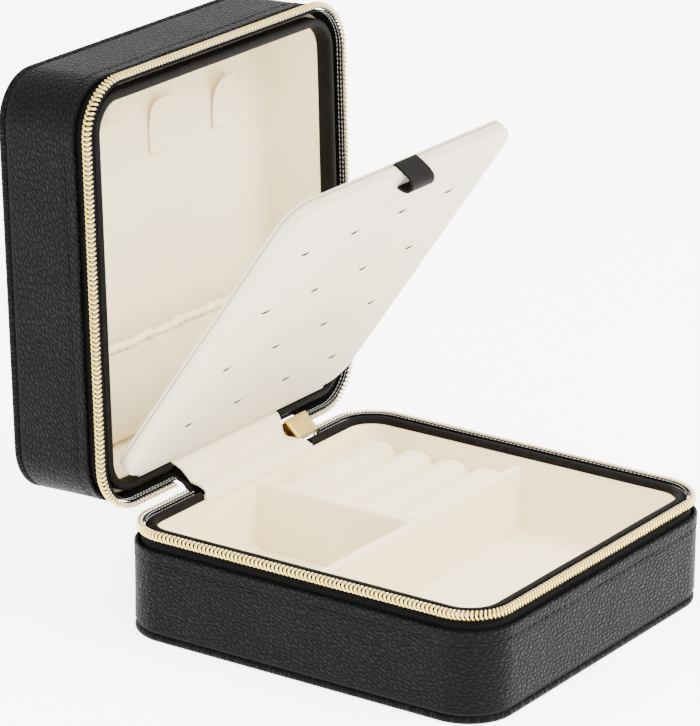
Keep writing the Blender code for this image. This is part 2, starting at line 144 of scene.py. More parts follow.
def add_camera():
    axes = camera_axes(AZIMUTH, ELEVATION, ROLL)
    place = np.eye(4)
    place[:3, :3] = axes.T
    place[:3, 3] = axes.T @ np.array([EYE_SIDE, EYE_UP, EYE_BACK]) * MM
    data = bpy.data.cameras.new("camera")
    data.lens = FOCAL_MM
    data.shift_x, data.shift_y = SHIFT_X, SHIFT_Y
    camera = bpy.data.objects.new("camera", data)
    bpy.context.scene.collection.objects.link(camera)
    camera.matrix_world = Matrix(place.tolist())
    bpy.context.scene.camera = camera
    return camera


camera = add_camera()
print("camera at", [round(c, 3) for c in camera.location])

# %% [markdown]
# ## Shader maths as Python
#
# A material is a graph of nodes, and writing one node at a time hides the formula. This small
# class wraps a socket, so that an expression such as 1 - mask * 0.5 adds the Math nodes itself.
# Any other node comes from one method, which sets the node's own settings first and then gives its
# sockets values or links.

# %% A socket that does arithmetic
class Wire:
    """One output socket of a node tree. A Wire with no socket only makes nodes."""

    def __init__(self, tree, socket=None):
        self.tree = tree
        self.socket = socket

    def node(self, kind, settings=None, inputs=None, output=0):
        """Add a node: its settings first, then values or links by socket name or number."""
        made = self.tree.nodes.new(kind)
        for name, value in (settings or {}).items():
            if name == "stops":
                ramp = made.color_ramp.elements
                while len(ramp) < len(value):
                    ramp.new(1.0)
                for element, (position, colour) in zip(ramp, value):
                    element.position = position
                    element.color = colour
            else:
                setattr(made, name, value)
        for name, value in (inputs or {}).items():
            if isinstance(value, Wire):
                self.tree.links.new(value.socket, made.inputs[name])
            else:
                made.inputs[name].default_value = value
        return Wire(self.tree, made.outputs[output])

    def maths(self, operation, first, second=0.0):
        return self.node("ShaderNodeMath", {"operation": operation}, {0: first, 1: second})

    def __add__(self, other):
        return self.maths("ADD", self, other)

    __radd__ = __add__

    def __sub__(self, other):
        return self.maths("SUBTRACT", self, other)

    def __rsub__(self, other):
        return self.maths("SUBTRACT", other, self)

    def __mul__(self, other):
        return self.maths("MULTIPLY", self, other)

    __rmul__ = __mul__

    def ramp(self, low, high, to_low=0.0, to_high=1.0):
        """This value's smooth step from low to high, as a number from to_low to to_high."""
        return self.node(
            "ShaderNodeMapRange",
            {"interpolation_type": "SMOOTHSTEP"},
            {0: self, 1: low, 2: high, 3: to_low, 4: to_high},
        )

    def mix(self, first, second):
        """The colour between two colours, by this factor."""
        return self.node("ShaderNodeMix", {"data_type": "RGBA"}, {0: self, 6: first, 7: second}, 2)

    def noise(self, vector, scale, detail=2.0, roughness=0.5):
        return self.node(
            "ShaderNodeTexNoise",
            {},
            {"Vector": vector, "Scale": scale, "Detail": detail, "Roughness": roughness},
        )

    def mapped(self, vector, scale=(1.0, 1.0, 1.0), turn_deg=0.0, shift=(0.0, 0.0, 0.0)):
        turn = (0.0, 0.0, math.radians(turn_deg))
        return self.node(
            "ShaderNodeMapping",
            {},
            {"Vector": vector, "Location": shift, "Rotation": turn, "Scale": scale},
        )


print("sockets now add, subtract and multiply")

# %% [markdown]
# ## Where a pattern lies
#
# Cloth, leather and tape follow the surface they are wrapped on, so their pattern reads a UV map
# called "lay", whose two numbers are real millimetres along and across the piece. Card and foam
# have no direction, and read Object coordinates.

# %% Material helpers
def colour(red, green, blue):
    return (red, green, blue, 1.0)


def new_finish(name):
    """An empty Principled material: (material, shader node, a Wire for making nodes)."""
    material = bpy.data.materials.new(name)
    material.use_nodes = True
    tree = material.node_tree
    return material, tree.nodes["Principled BSDF"], Wire(tree)


def lay_of(wire):
    return wire.node("ShaderNodeUVMap", {"uv_map": "lay"})


def place_of(wire, millimetre=1000.0):
    """Object coordinates counted in millimetres."""
    point = wire.node("ShaderNodeTexCoord", output=3)
    return wire.mapped(point, scale=(millimetre,) * 3)


def connect(wire, shader, sockets, height=None, bump_mm=0.1, strength=1.0):
    """Feed the shader's sockets, and turn a height from 0 to 1 into its normal."""
    for name, value in sockets.items():
        if isinstance(value, Wire):
            wire.tree.links.new(value.socket, shader.inputs[name])
        else:
            shader.inputs[name].default_value = value
    if height is not None:
        bump = wire.node(
            "ShaderNodeBump",
            {},
            {"Strength": strength, "Distance": bump_mm * MM, "Height": height},
        )
        wire.tree.links.new(bump.socket, shader.inputs["Normal"])


print("patterns are measured in millimetres")

# %% [markdown]
# ## Pebbled leather
#
# This leather is pressed with a litchi grain: soft pebbles a little over a millimetre long, packed
# side by side and drawn out along the wrap, with fine creases between them. A Voronoi texture's
# distance to the edge of its cells gives exactly that: a dome in each cell that falls to a crease.
# The crease is painted darker, as painted shade, and is rougher, and the pebbles' tops are worn slightly smooth.

# %% Pebbled leather
def pebbled_leather(name, relief=1.0, along=2.1, across=1.25, turn_deg=24.0):
    """Black leather whose pebbles are `along` by `across` millimetres."""
    material, shader, wire = new_finish(name)
    lay = lay_of(wire)
    wander = wire.noise(lay, 0.55, detail=1.0)
    slant = wire.mapped(lay, turn_deg=turn_deg)
    drawn = wire.mapped(slant, scale=(1.0 / along, 1.0 / across, 1.0))
    bent = wire.node("ShaderNodeVectorMath", {"operation": "ADD"}, {0: drawn, 1: wander * 0.9})
    crease = wire.node(
        "ShaderNodeTexVoronoi",
        {"feature": "DISTANCE_TO_EDGE", "voronoi_dimensions": "2D"},
        {"Vector": bent, "Scale": 1.0, "Randomness": 0.9},
        "Distance",
    )
    dome = crease.ramp(0.0, 0.46)
    wrinkle = wire.noise(lay, 2.6, detail=3.0, roughness=0.6)
    patch = wire.noise(lay, 0.05, detail=2.0).ramp(0.3, 0.7)
    height = dome * 0.8 + wrinkle * 0.25
    top = patch.mix(colour(0.0028, 0.0028, 0.0028), colour(0.0040, 0.0040, 0.0039))
    # painted shade: the base colour falls from the pebble tops to near black in the creases
    shade = dome.ramp(0.0, 0.9).mix(colour(0.0012, 0.0012, 0.0012), top)
    rough = 0.50 - dome * 0.10 + wrinkle * 0.08
    connect(
        wire, shader, {"Base Color": shade, "Roughness": rough, "Specular IOR Level": 0.035},
        height, bump_mm=0.34 * relief, strength=1.0,
    )
    return material


LEATHER = pebbled_leather("pebbled_leather")
print("made", LEATHER.name)

# %% [markdown]
# ## Smooth leather, tape and thread
#
# The binding round the rim and the panel's pull tab are a thin smooth leather with only a faint
# grain and more sheen. The zip's tape is a tight black twill: its threads are a row of short slanted
# ribs, from two sine-like ramps. Stitches are waxed thread.

# %% Smooth leather, tape, threads
def smooth_leather(name):
    material, shader, wire = new_finish(name)
    lay = lay_of(wire)
    grain = wire.node(
        "ShaderNodeTexVoronoi",
        {"feature": "DISTANCE_TO_EDGE", "voronoi_dimensions": "2D"},
        {"Vector": lay, "Scale": 2.3, "Randomness": 1.0},
        "Distance",
    )
    pores = grain.ramp(0.0, 0.22)
    soft = wire.noise(lay, 0.35, detail=3.0)
    shade = soft.ramp(0.3, 0.75).mix(colour(0.0040, 0.0035, 0.0031), colour(0.0062, 0.0055, 0.0049))
    rough = 0.52 + soft * 0.14
    connect(
        wire, shader, {"Base Color": shade, "Roughness": rough, "Specular IOR Level": 0.04},
        pores * 0.5 + soft, 0.06, 0.8,
    )
    return material


def woven_tape(name):
    """Twill: ribs across the tape, each made of slanted threads."""
    material, shader, wire = new_finish(name)
    lay = lay_of(wire)
    parts = [wire.node("ShaderNodeSeparateXYZ", {}, {0: lay}, output=k) for k in (0, 1)]
    along, across = parts
    warp = wire.maths("SINE", across * 9.0)
    weft = wire.maths("SINE", along * 7.5 + across * 4.0)
    fuzz = wire.noise(lay, 4.0, detail=2.0)
    weave = warp * 0.25 + weft * 0.25 + 0.5
    black, grey = colour(0.0012, 0.0012, 0.0012), colour(0.008, 0.0077, 0.0075)
    shade = (weave * fuzz).ramp(0.1, 0.65).mix(black, grey)
    connect(
        wire, shader, {"Base Color": shade, "Roughness": 0.82, "Specular IOR Level": 0.05},
        weave + fuzz * 0.4, 0.10, 1.0,
    )
    return material


def thread(name, dark, light):
    """Twisted thread, from dark in its twist to light on its strands."""
    material, shader, wire = new_finish(name)
    place = place_of(wire)
    strand = wire.noise(place, 3.5, detail=2.0)
    shade = strand.ramp(0.3, 0.7).mix(dark, light)
    connect(
        wire, shader, {"Base Color": shade, "Roughness": 0.7, "Specular IOR Level": 0.1}, strand, 0.05, 0.6,
    )
    return material


BINDING = smooth_leather("smooth_leather")
TAPE = woven_tape("woven_tape")
# the black thread finish also goes onto the panel's slit walls, where it is painted shade
BLACK_THREAD_AND_SLIT_SHADE = thread("black_thread_and_slit_shade", colour(0.001, 0.001, 0.001), colour(0.005, 0.005, 0.005))
PALE_THREAD = thread("pale_thread", colour(0.22, 0.22, 0.21), colour(0.42, 0.42, 0.40))
print("made", BINDING.name, TAPE.name, BLACK_THREAD_AND_SLIT_SHADE.name, PALE_THREAD.name)

# %% [markdown]
# ## Gold coil and brass slider
#
# A nylon coil is plated thinly: it is yellow on the legs that face outwards and nearly silver where
# the plating is rubbed, on the heads and the inner legs. The coil's second UV number runs once round
# each turn of the filament, so a ramp on it picks the inner leg. The slider is solid brass
# with faint polishing marks.

# %% Gold coil and brass
def gold_coil(name):
    material, shader, wire = new_finish(name)
    lay = lay_of(wire)
    turn = wire.node("ShaderNodeSeparateXYZ", {}, {0: lay}, output=1)
    inner = turn.ramp(0.40, 0.60) * (1.0 - turn.ramp(0.90, 1.0))
    worn = wire.noise(place_of(wire), 1.4, detail=2.0)
    gold = worn.ramp(0.3, 0.7).mix(colour(0.62, 0.46, 0.10), colour(0.74, 0.59, 0.19))
    shade = inner.mix(gold, colour(0.54, 0.51, 0.40))
    rough = 0.24 + worn * 0.16
    connect(wire, shader, {"Base Color": shade, "Metallic": 1.0, "Roughness": rough}, worn, 0.02, 0.5)
    return material


def polished_brass(name):
    material, shader, wire = new_finish(name)
    place = place_of(wire)
    brushed = wire.noise(wire.mapped(place, scale=(0.4, 6.0, 6.0)), 1.0, detail=3.0)
    spots = wire.noise(place, 0.5, detail=2.0)
    shade = spots.ramp(0.3, 0.7).mix(colour(0.50, 0.35, 0.09), colour(0.58, 0.43, 0.14))
    rough = 0.20 + brushed * 0.18
    connect(wire, shader, {"Base Color": shade, "Metallic": 1.0, "Roughness": rough}, brushed, 0.01, 0.4)
    return material


GOLD = gold_coil("gold_coil")
BRASS = polished_brass("polished_brass")
print("made", GOLD.name, BRASS.name)

# %% [markdown]
# ## Velvet, card and foam
#
# The lining is a short cream velvet. Its pile brushes this way and that, so broad soft patches are
# a little lighter or darker, and a fine fuzz breaks up the light. Sheen gives the bright edge that
# pile has at a grazing view. The panel's velvet is a cooler white. Card and foam are inside the
# walls, and are finished plainly for when the case is taken apart.

# %% Velvet, card and foam
def velvet(name, light, dark):
    material, shader, wire = new_finish(name)
    place = place_of(wire)
    fuzz = wire.noise(place, 2.8, detail=3.0, roughness=0.7)
    brushed = wire.noise(place, 0.055, detail=2.0)
    tone = brushed.ramp(0.3, 0.7) * 0.6 + fuzz * 0.4
    connect(
        wire, shader,
        {
            "Base Color": tone.mix(dark, light), "Roughness": 0.92,
            "Sheen Weight": 0.25, "Sheen Roughness": 0.5, "Specular IOR Level": 0.15,
        },
        fuzz, 0.12, 0.55,
    )
    return material


def plain_board(name, light, dark, scale):
    material, shader, wire = new_finish(name)
    fibres = wire.noise(place_of(wire), scale, detail=4.0)
    connect(wire, shader, {"Base Color": fibres.mix(dark, light), "Roughness": 0.9}, fibres, 0.08, 0.8)
    return material


CREAM = velvet("cream_velvet", colour(0.90, 0.80, 0.545), colour(0.85, 0.74, 0.485))
PANEL_CREAM = velvet("panel_velvet", colour(0.60, 0.535, 0.405), colour(0.55, 0.485, 0.36))
CARD = plain_board("grey_card", colour(0.36, 0.29, 0.21), colour(0.24, 0.19, 0.13), 0.9)
FOAM = plain_board("pale_foam", colour(0.84, 0.83, 0.78), colour(0.70, 0.69, 0.64), 1.8)
print("made", CREAM.name, PANEL_CREAM.name, CARD.name, FOAM.name)

# %% [markdown]
# ## One function that closes a surface
#
# Nearly every piece is a grid of points: rows one way, columns the other. The grid may join up end
# to end either way. Where the rows don't join, the first and the last ring of columns are closed by
# a flat face. Which way the faces point is settled by the signed volume: if it comes out negative,
# every face is turned round.

# %% Closed surfaces from grids
def signed_volume(points, quads, caps):
    """Six times the volume that the faces enclose, positive if they face outwards."""
    a, b, c, d = (points[quads[:, k]] for k in range(4))
    total = np.einsum("ij,ij->", a, np.cross(b, c)) + np.einsum("ij,ij->", a, np.cross(c, d))
    for cap in caps:
        ring = points[cap]
        total += (np.cross(ring[1:-1], ring[2:]) @ ring[0]).sum()
    return total


def corners_of(grid):
    """The four corners of every cell of a grid of numbers, one cell a row."""
    cells = [grid[:-1, :-1], grid[:-1, 1:], grid[1:, 1:], grid[1:, :-1]]
    return np.stack([cell.reshape(-1) for cell in cells], axis=-1)


def link_mesh(name, points, quads, caps, uv, finish):
    """An object in the scene, smooth all over, from points in millimetres."""
    mesh = bpy.data.meshes.new(name)
    faces = [*quads.tolist(), *[cap.tolist() for cap in caps]]
    mesh.from_pydata((points * MM).tolist(), [], faces)
    mesh.uv_layers.new(name="lay").data.foreach_set("uv", uv.astype(np.float32).ravel())
    mesh.materials.append(finish)
    mesh.shade_smooth()
    item = bpy.data.objects.new(name, mesh)
    bpy.context.scene.collection.objects.link(item)
    return item


def new_piece(name, points, quads, caps, uv, finish, sharp):
    """One closed body whose faces, and their UVs, are turned round if they point inwards."""
    if signed_volume(points, quads, caps) < 0:
        quads, caps = quads[:, ::-1], [cap[::-1] for cap in caps]
        turned = uv[0].reshape(-1, 4, 2)[:, ::-1].reshape(-1, 2)
        uv = [turned, *[part[::-1] for part in uv[1:]]]
    item = link_mesh(name, points, quads, caps, np.concatenate(uv), finish)
    item.data.set_sharp_from_angle(angle=math.radians(sharp))
    return item


def shell(name, points, finish, joins=(False, True), lay=None, sharp=35.0):
    """A closed surface from a (rows, columns, 3) grid in millimetres.

    joins says whether the rows, and the columns, meet end to end. lay is the grid's UV map as a
    (rows, columns, 2) grid with one more row or column where they meet; without it the first two
    coordinates are used.
    """
    rows, columns = points.shape[:2]
    numbers = np.arange(rows * columns).reshape(rows, columns)
    wrapped = np.pad(numbers, ((0, int(joins[0])), (0, int(joins[1]))), mode="wrap")
    quads = corners_of(wrapped)
    if lay is None:
        lay = np.pad(points[..., :2], ((0, int(joins[0])), (0, int(joins[1])), (0, 0)), mode="wrap")
    uv = [np.stack([corners_of(lay[..., k]) for k in (0, 1)], axis=-1).reshape(-1, 2)]
    caps = []
    if not joins[0]:
        caps = [numbers[0][::-1], numbers[-1]]
        uv += [lay[0, :columns][::-1], lay[-1, :columns]]
    return new_piece(name, points.reshape(-1, 3), quads, caps, uv, finish, sharp)


print("shell() closes any grid")

# %% [markdown]
# ## Two halves, one description
#
# Both halves are worked out shut, as (x, y, depth), with depth counted from the parting plane. The
# base's depth runs down. The lid's runs up, and then the lid is swung open about the hinge line.
# The panel is swung into place the same way.

# %% Swinging things about the hinge line
def swing(points, pivot_y, pivot_z, degrees):
    """Turn (x, y, z) points about a line along X: y and z are distances from the pivot."""
    turn = math.radians(degrees)
    x, y, z = points[..., 0], points[..., 1], points[..., 2]
    new_y = pivot_y + y * math.cos(turn) + z * math.sin(turn)
    new_z = pivot_z - y * math.sin(turn) + z * math.cos(turn)
    return np.stack([x, new_y, new_z], axis=-1)


def xyz(*parts):
    """Stack coordinates that may be arrays or numbers into one array of points."""
    return np.stack(np.broadcast_arrays(*[np.asarray(part, float) for part in parts]), axis=-1)


def in_base(points):
    return xyz(points[..., 0], points[..., 1], RIM_Z - points[..., 2])


def in_lid(points):
    shifted = xyz(points[..., 0], points[..., 1] - HINGE_Y, points[..., 2])
    return swing(shifted, HINGE_Y, RIM_Z, OPEN_DEG)


def in_panel(points):
    return swing(points, PANEL_Y, PANEL_Z, PANEL_LEAN_DEG)


print("the panel leans", round(PANEL_LEAN_DEG, 1), "degrees from flat")

# %% [markdown]
# ## Walking round the rim
#
# A rounded rectangle is walked clockwise from the middle of its back edge. At each distance there
# is an anchor point and an outward direction, and a point at some inset lies at anchor plus
# direction times (corner radius minus inset). Every inset then shares the same corners' centres,
# as real layers of a wall do.

# %% The rim
class Rim:
    """A rounded rectangle, walked by distance in millimetres along its outer edge."""

    def __init__(self, half_width, front, back, radius):
        side = half_width - radius
        low, high = front + radius, back - radius
        self.radius = radius
        keys = np.array([
            (0.0, high, 90.0), (side, high, 90.0), (side, high, 0.0), (side, low, 0.0),
            (side, low, -90.0), (-side, low, -90.0), (-side, low, -180.0), (-side, high, -180.0),
            (-side, high, -270.0), (0.0, high, -270.0),
        ])
        steps = np.abs(np.diff(keys, axis=0))
        lengths = steps[:, 0] + steps[:, 1] + radius * np.radians(steps[:, 2])
        self.keys = keys
        self.marks = np.concatenate([[0.0], np.cumsum(lengths)])
        self.length = self.marks[-1]

    def at(self, distance, inset):
        """x and y of points at these distances and insets."""
        anchor_x, anchor_y, turn = (np.interp(distance, self.marks, self.keys[:, k]) for k in range(3))
        reach = self.radius - inset
        turn = np.radians(turn)
        return anchor_x + np.cos(turn) * reach, anchor_y + np.sin(turn) * reach

    def along(self, distance):
        """The walking direction there, as unit x and y."""
        turn = np.radians(np.interp(distance, self.marks, self.keys[:, 2]))
        return np.sin(turn), -np.cos(turn)

    def stations(self, start=0.0, stop=None, straight=4.0, corner=1.2):
        """Distances to stand at: close together in the corners, further apart on the sides."""
        stop = self.length if stop is None else stop
        found = []
        for k, (low, high) in enumerate(zip(self.marks[:-1], self.marks[1:])):
            low, high = max(low, start), min(high, stop)
            if high - low > 0.01:
                step = corner if k % 2 else straight
                found.append(np.linspace(low, high, max(2, round((high - low) / step) + 1))[:-1])
        return np.concatenate([*found, [stop]])

    def ends(self, left, right):
        """The distances at which the walk leaves x = right and comes back to x = left."""
        return right, self.length + left


RIM = Rim(HALF_WIDTH, FRONT, BACK, CORNER)
print(f"the rim is {RIM.length:.0f} mm round")


# %% Sweeping a section round the rim
def path_lengths(section):
    """How far along the section each of its points lies."""
    return np.concatenate([[0.0], np.cumsum(np.linalg.norm(np.diff(section, axis=0), axis=1))])


def arc(centre, radius, start_deg, stop_deg, count):
    """Points (inset, depth) on a circle; 0 degrees is further in, and 90 is towards the rim."""
    turn = np.radians(np.linspace(start_deg, stop_deg, count))
    return np.stack([centre[0] + radius * np.cos(turn), centre[1] - radius * np.sin(turn)], axis=-1)


def sweep(name, section, place, finish, span=None, sharp=35.0, rim=RIM, straight=4.0, relief=None):
    """Carry a closed section of (inset, depth) round the rim, or only between span's two distances."""
    closed = span is None
    walk = rim.stations(*(span or (0.0, None)), straight=straight)
    steps = walk[:-1] if closed else walk
    inset, depth = section[None, :, 0], section[None, :, 1]
    if relief is not None:
        inset = inset + relief(steps[:, None], depth)
    x, y = rim.at(steps[:, None], inset)
    points = place(xyz(x, y, depth))
    loop = np.vstack([section, section[:1]])
    lay = np.stack(np.meshgrid(walk, path_lengths(loop), indexing="ij"), axis=-1)
    return shell(name, points, finish, joins=(closed, True), lay=lay, sharp=sharp)


def ribbon(path, thickness):
    """A closed outline of even thickness round a path of points."""
    path = np.asarray(path, float)
    slope = np.gradient(path, axis=0)
    normal = np.stack([-slope[:, 1], slope[:, 0]], axis=-1)
    normal /= np.linalg.norm(normal, axis=1, keepdims=True)
    return np.vstack([path + normal * thickness / 2, (path - normal * thickness / 2)[::-1]])


def curve_through(points, count):
    """A smooth curve through a few points: a Catmull-Rom spline, read at even steps."""
    points = np.asarray(points, float)
    padded = np.vstack([2 * points[0] - points[1], points, 2 * points[-1] - points[-2]])
    t = np.linspace(0.0, len(points) - 1.0, count)
    k = np.minimum(t.astype(int), len(points) - 2)
    f = (t - k)[:, None]
    a, b, c, d = (padded[k + i] for i in range(4))
    bend, twist = 2 * a - 5 * b + 4 * c - d, 3 * b - a - 3 * c + d
    return 0.5 * (2 * b + (c - a) * f + bend * f**2 + twist * f**3)


# The lid's leather edge, stitches and binding lie this much deeper.
SUNK = {"base": 0.0, "lid": 1.7}
HALVES = {
    "base": (in_base, BASE_HEIGHT, BASE_BAND_END),
    "lid": (in_lid, LID_HEIGHT, LID_BAND_END + 1.8),
}
print("sections are swept for", *HALVES)

# %% [markdown]
# ## The leather wrap
#
# The side of each half is one strip of leather glued round the card. Its top edge is turned over
# and sewn down, so it ends in a round fold, and the line of stitches pulls a shallow channel 4 mm
# below it. At the foot it tucks into the groove above the rolled edge of the cover. The section is
# a fold, a wall and a tuck; a slow wave of a tenth of a millimetre takes the machined look off it.

# %% The leather wrap
def wrap_section(total, edge, stitched):
    """The wrap's closed section: a round fold, the wall with its stitched channel, and the tuck."""
    low = total - WELT - WELT_GROOVE
    fold = arc((SKIN / 2, edge + SKIN / 2), SKIN / 2, 0.0, 180.0, 11)
    depth = np.linspace(edge + SKIN / 2 + 0.4, low - 1.0, 42)
    channel = 0.26 * np.exp(-(((depth - stitched) / 0.55) ** 2))
    step_down = 0.14 / (1.0 + np.exp(-(depth - stitched - 0.5) * 3.0))
    wall = np.stack([channel + step_down, depth], axis=-1)
    tuck = arc((1.14, low - 1.0), 1.0, 180.0, 270.0, 7)
    inside = np.array([(SKIN, low), (SKIN, (low + edge) / 2)])
    return np.vstack([fold, wall, tuck[1:], inside])


def handmade(distance, depth):
    """A slow wave of the surface, a tenth of a millimetre deep."""
    return 0.06 * np.sin(distance / 9.1 + 0.8) * np.sin(depth / 5.3) + 0.05 * np.sin(distance / 4.3)


for half, (place, total, _) in HALVES.items():
    section = wrap_section(total, LEATHER_EDGE + SUNK[half], STITCH_DEPTH + SUNK[half])
    wrap = sweep(f"{half}_wrap", section, place, LEATHER, relief=handmade, straight=2.5)
    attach(wrap, half)
    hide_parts(f"{half}_side_cover")
    print(wrap.name, len(wrap.data.polygons), "faces")

# %% [markdown]
# ## The rolled covers
#
# The flat leather under the base and on the lid is cut round, and its edge is rolled over a cord,
# which leaves a neat bead and a dark groove. The lid's cover has a sheet of foam under it, so it
# crowns by under a millimetre. It is one grid: rings that climb round the bead and then shrink
# towards the middle of the flat.

# %% The rolled covers
def rolled_cover(name, place, total, crown):
    """Rings round the bead, inset = 1.4 - 1.3 cos a, then shrinking rings with a shallow dome."""
    walk = RIM.stations(straight=3.0)[:-1]
    climb = np.radians(np.linspace(-90.0, 90.0, 13))[:, None]
    bead_x, bead_y = RIM.at(walk[None, :], 1.45 - 1.30 * np.cos(climb))
    bead = xyz(bead_x, bead_y, total - WELT / 2 + WELT / 2 * np.sin(climb))
    shrink = np.linspace(1.0, 0.04, 26)[1:, None]
    flat_x, flat_y = bead_x[-1][None, :] * shrink, bead_y[-1][None, :] * shrink
    flat = xyz(flat_x, flat_y, total + crown * (1.0 - shrink**4))
    lay = cover_lay(bead_x, bead_y, flat_x, flat_y)
    return shell(name, place(np.concatenate([bead, flat])), LEATHER, lay=lay)


def cover_lay(bead_x, bead_y, flat_x, flat_y):
    """The cover's UV map is its flat plan, a little stretched over the bead."""
    plan = np.stack([np.vstack([bead_x, flat_x]), np.vstack([bead_y, flat_y])], axis=-1)
    rows = np.arange(len(bead_x))[:, None, None]
    outward = 1.0 + 0.02 * np.clip(len(bead_x) - 1 - rows, 0, None) / len(bead_x)
    plan[: len(bead_x)] = plan[: len(bead_x)] * outward
    return np.concatenate([plan, plan[:, :1]], axis=1)


for half, face, crown in (("base", "bottom", 0.0), ("lid", "top", 0.7)):
    place, total, _ = HALVES[half]
    cover = rolled_cover(f"{half}_{face}_leather", place, total, crown)
    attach(cover, half)
    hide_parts(f"{half}_{face}_cover")
    print(cover.name, len(cover.data.polygons), "faces")

# %% [markdown]
# ## Stitches
#
# A stitch is a short capsule of thread lying in a surface. One small function makes a whole row at
# once: it repeats a ring grid of a few dozen faces at every stitch, and only the capsule's long
# direction changes from one to the next.

# %% Rows of stitches
def capsules(name, middles, along, across, length, radius, finish, sides=6):
    """Many small closed capsules: at each middle, a tube along `along` that tapers at both ends."""
    taper = np.array([0.35, 0.85, 1.0, 0.85, 0.35])
    reach = np.array([-1.0, -0.7, 0.0, 0.7, 1.0]) * length / 2
    turn = np.linspace(0.0, 2.0 * np.pi, sides, endpoint=False)
    third = np.cross(along, across)
    spin = (np.cos(turn)[:, None] * across[:, None, :] + np.sin(turn)[:, None] * third[:, None, :])
    grid = (
        middles[:, None, None, :]
        + along[:, None, None, :] * reach[None, :, None, None]
        + spin[:, None, :, :] * (radius * taper)[None, :, None, None]
    )
    count, rows = grid.shape[:2]
    numbers = np.arange(rows * sides).reshape(rows, sides)
    one = corners_of(np.pad(numbers, ((0, 0), (0, 1)), mode="wrap"))
    jump = np.arange(count)[:, None, None] * rows * sides
    quads = (one[None] + jump).reshape(-1, 4)
    caps = [ring + k * rows * sides for k in range(count) for ring in (numbers[0][::-1], numbers[-1])]
    points = grid.reshape(-1, 3)
    uv = [points[np.concatenate([quads.ravel(), *caps])][:, :2]]
    return joined_piece(name, points, quads, caps, uv[0], finish)


def joined_piece(name, points, quads, caps, uv, finish):
    """Many closed bodies in one mesh, all wound the same way."""
    if signed_volume(points, quads, caps) < 0:
        quads, caps = quads[:, ::-1], [cap[::-1] for cap in caps]
    return link_mesh(name, points, quads, caps, uv, finish)


def stitch_row(name, place, span, inset, depth, pitch, length, radius, finish):
    """Stitches at even distances round the rim, each lying along the rim."""
    count = round((span[1] - span[0]) / pitch)
    walk = span[0] + (np.arange(count) + 0.5) * (span[1] - span[0]) / count
    x, y = RIM.at(walk, inset)
    ahead_x, ahead_y = RIM.along(walk)
    middle = place(xyz(x, y, depth))
    ahead = place(xyz(x + ahead_x, y + ahead_y, depth)) - middle
    across = place(xyz(x, y, depth + 1.0)) - middle
    return capsules(name, middle, ahead, across, length, radius, finish)


for half, (place, _, _) in HALVES.items():
    seam = stitch_row(
        f"{half}_edge_stitches", place, (0.0, RIM.length), inset=0.20,
        depth=STITCH_DEPTH + SUNK[half], pitch=3.3, length=2.5, radius=0.24, finish=BLACK_THREAD_AND_SLIT_SHADE,
    )
    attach(seam, half)
    print(seam.name, len(seam.data.polygons), "faces")

# %% [markdown]
# ## The cord in the groove
#
# Between the wrap and the rolled cover lies a black cord, which is what the groove shows. It is a
# rounded strip that fills the groove from behind.

# %% The cord in the groove
for half, (place, total, _) in HALVES.items():
    middle = total - WELT - WELT_GROOVE / 2
    turn = np.linspace(0.0, 2.0 * np.pi, 12, endpoint=False)
    section = np.stack([1.25 + 0.45 * np.cos(turn), middle - 0.75 * np.sin(turn)], axis=-1)
    cord = sweep(f"{half}_groove_cord", section, place, BLACK_THREAD_AND_SLIT_SHADE, sharp=60.0)
    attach(cord, half)
    print(cord.name, len(cord.data.polygons), "faces")

# %% [markdown]
# ## Zip tape and its sewing
#
# The tape comes up from under the leather's fold, bows inwards behind the coil and ends just below
# the teeth's heads. From inside the case the tape's back shows, with the two rows of pale thread
# that sew the coil to it.

# %% Zip tape and its sewing
TAPE_PATH = {
    "base": [(3.35, 0.6), (3.35, 3.4), (3.1, 4.6), (2.4, 5.5), (2.2, 7.0), (2.2, 13.6)],
    "lid": [(1.35, 2.0), (1.35, 4.4), (1.6, 5.8), (2.0, 7.0), (2.2, 8.2), (2.2, 13.6)],
}
TAPE_ROWS = {"base": (3.56, (0.95, 2.0)), "lid": (1.56, (2.5, 3.6))}
ZIP_SPAN = RIM.ends(ZIP_LEFT, ZIP_RIGHT)

for half, (place, _, _) in HALVES.items():
    section = ribbon(curve_through(TAPE_PATH[half], 22), 0.36)
    tape = sweep(f"{half}_tape", section, place, TAPE, span=ZIP_SPAN, straight=6.0)
    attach(tape, half)
    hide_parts(f"{half}_zip_tape")
    inset, depths = TAPE_ROWS[half]
    for row, depth in enumerate(depths):
        dashes = stitch_row(
            f"{half}_coil_stitches_{row + 1}", place, ZIP_SPAN, inset, depth,
            pitch=COIL_PITCH, length=1.05, radius=0.15, finish=PALE_THREAD,
        )
        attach(dashes, half)
    print(tape.name, len(tape.data.polygons), "faces")

# %% [markdown]
# ## The coil
#
# The teeth are one nylon filament wound as a flat helix: down the outer side as a leg, round the
# heel, up the inner side, and over the head, where the filament is pressed wider. The legs lean
# forward in the middle, which makes the row of chevrons that a coil zip shows. The centre line is
# worked out for the whole row at once, and a ring of six points is carried along it.

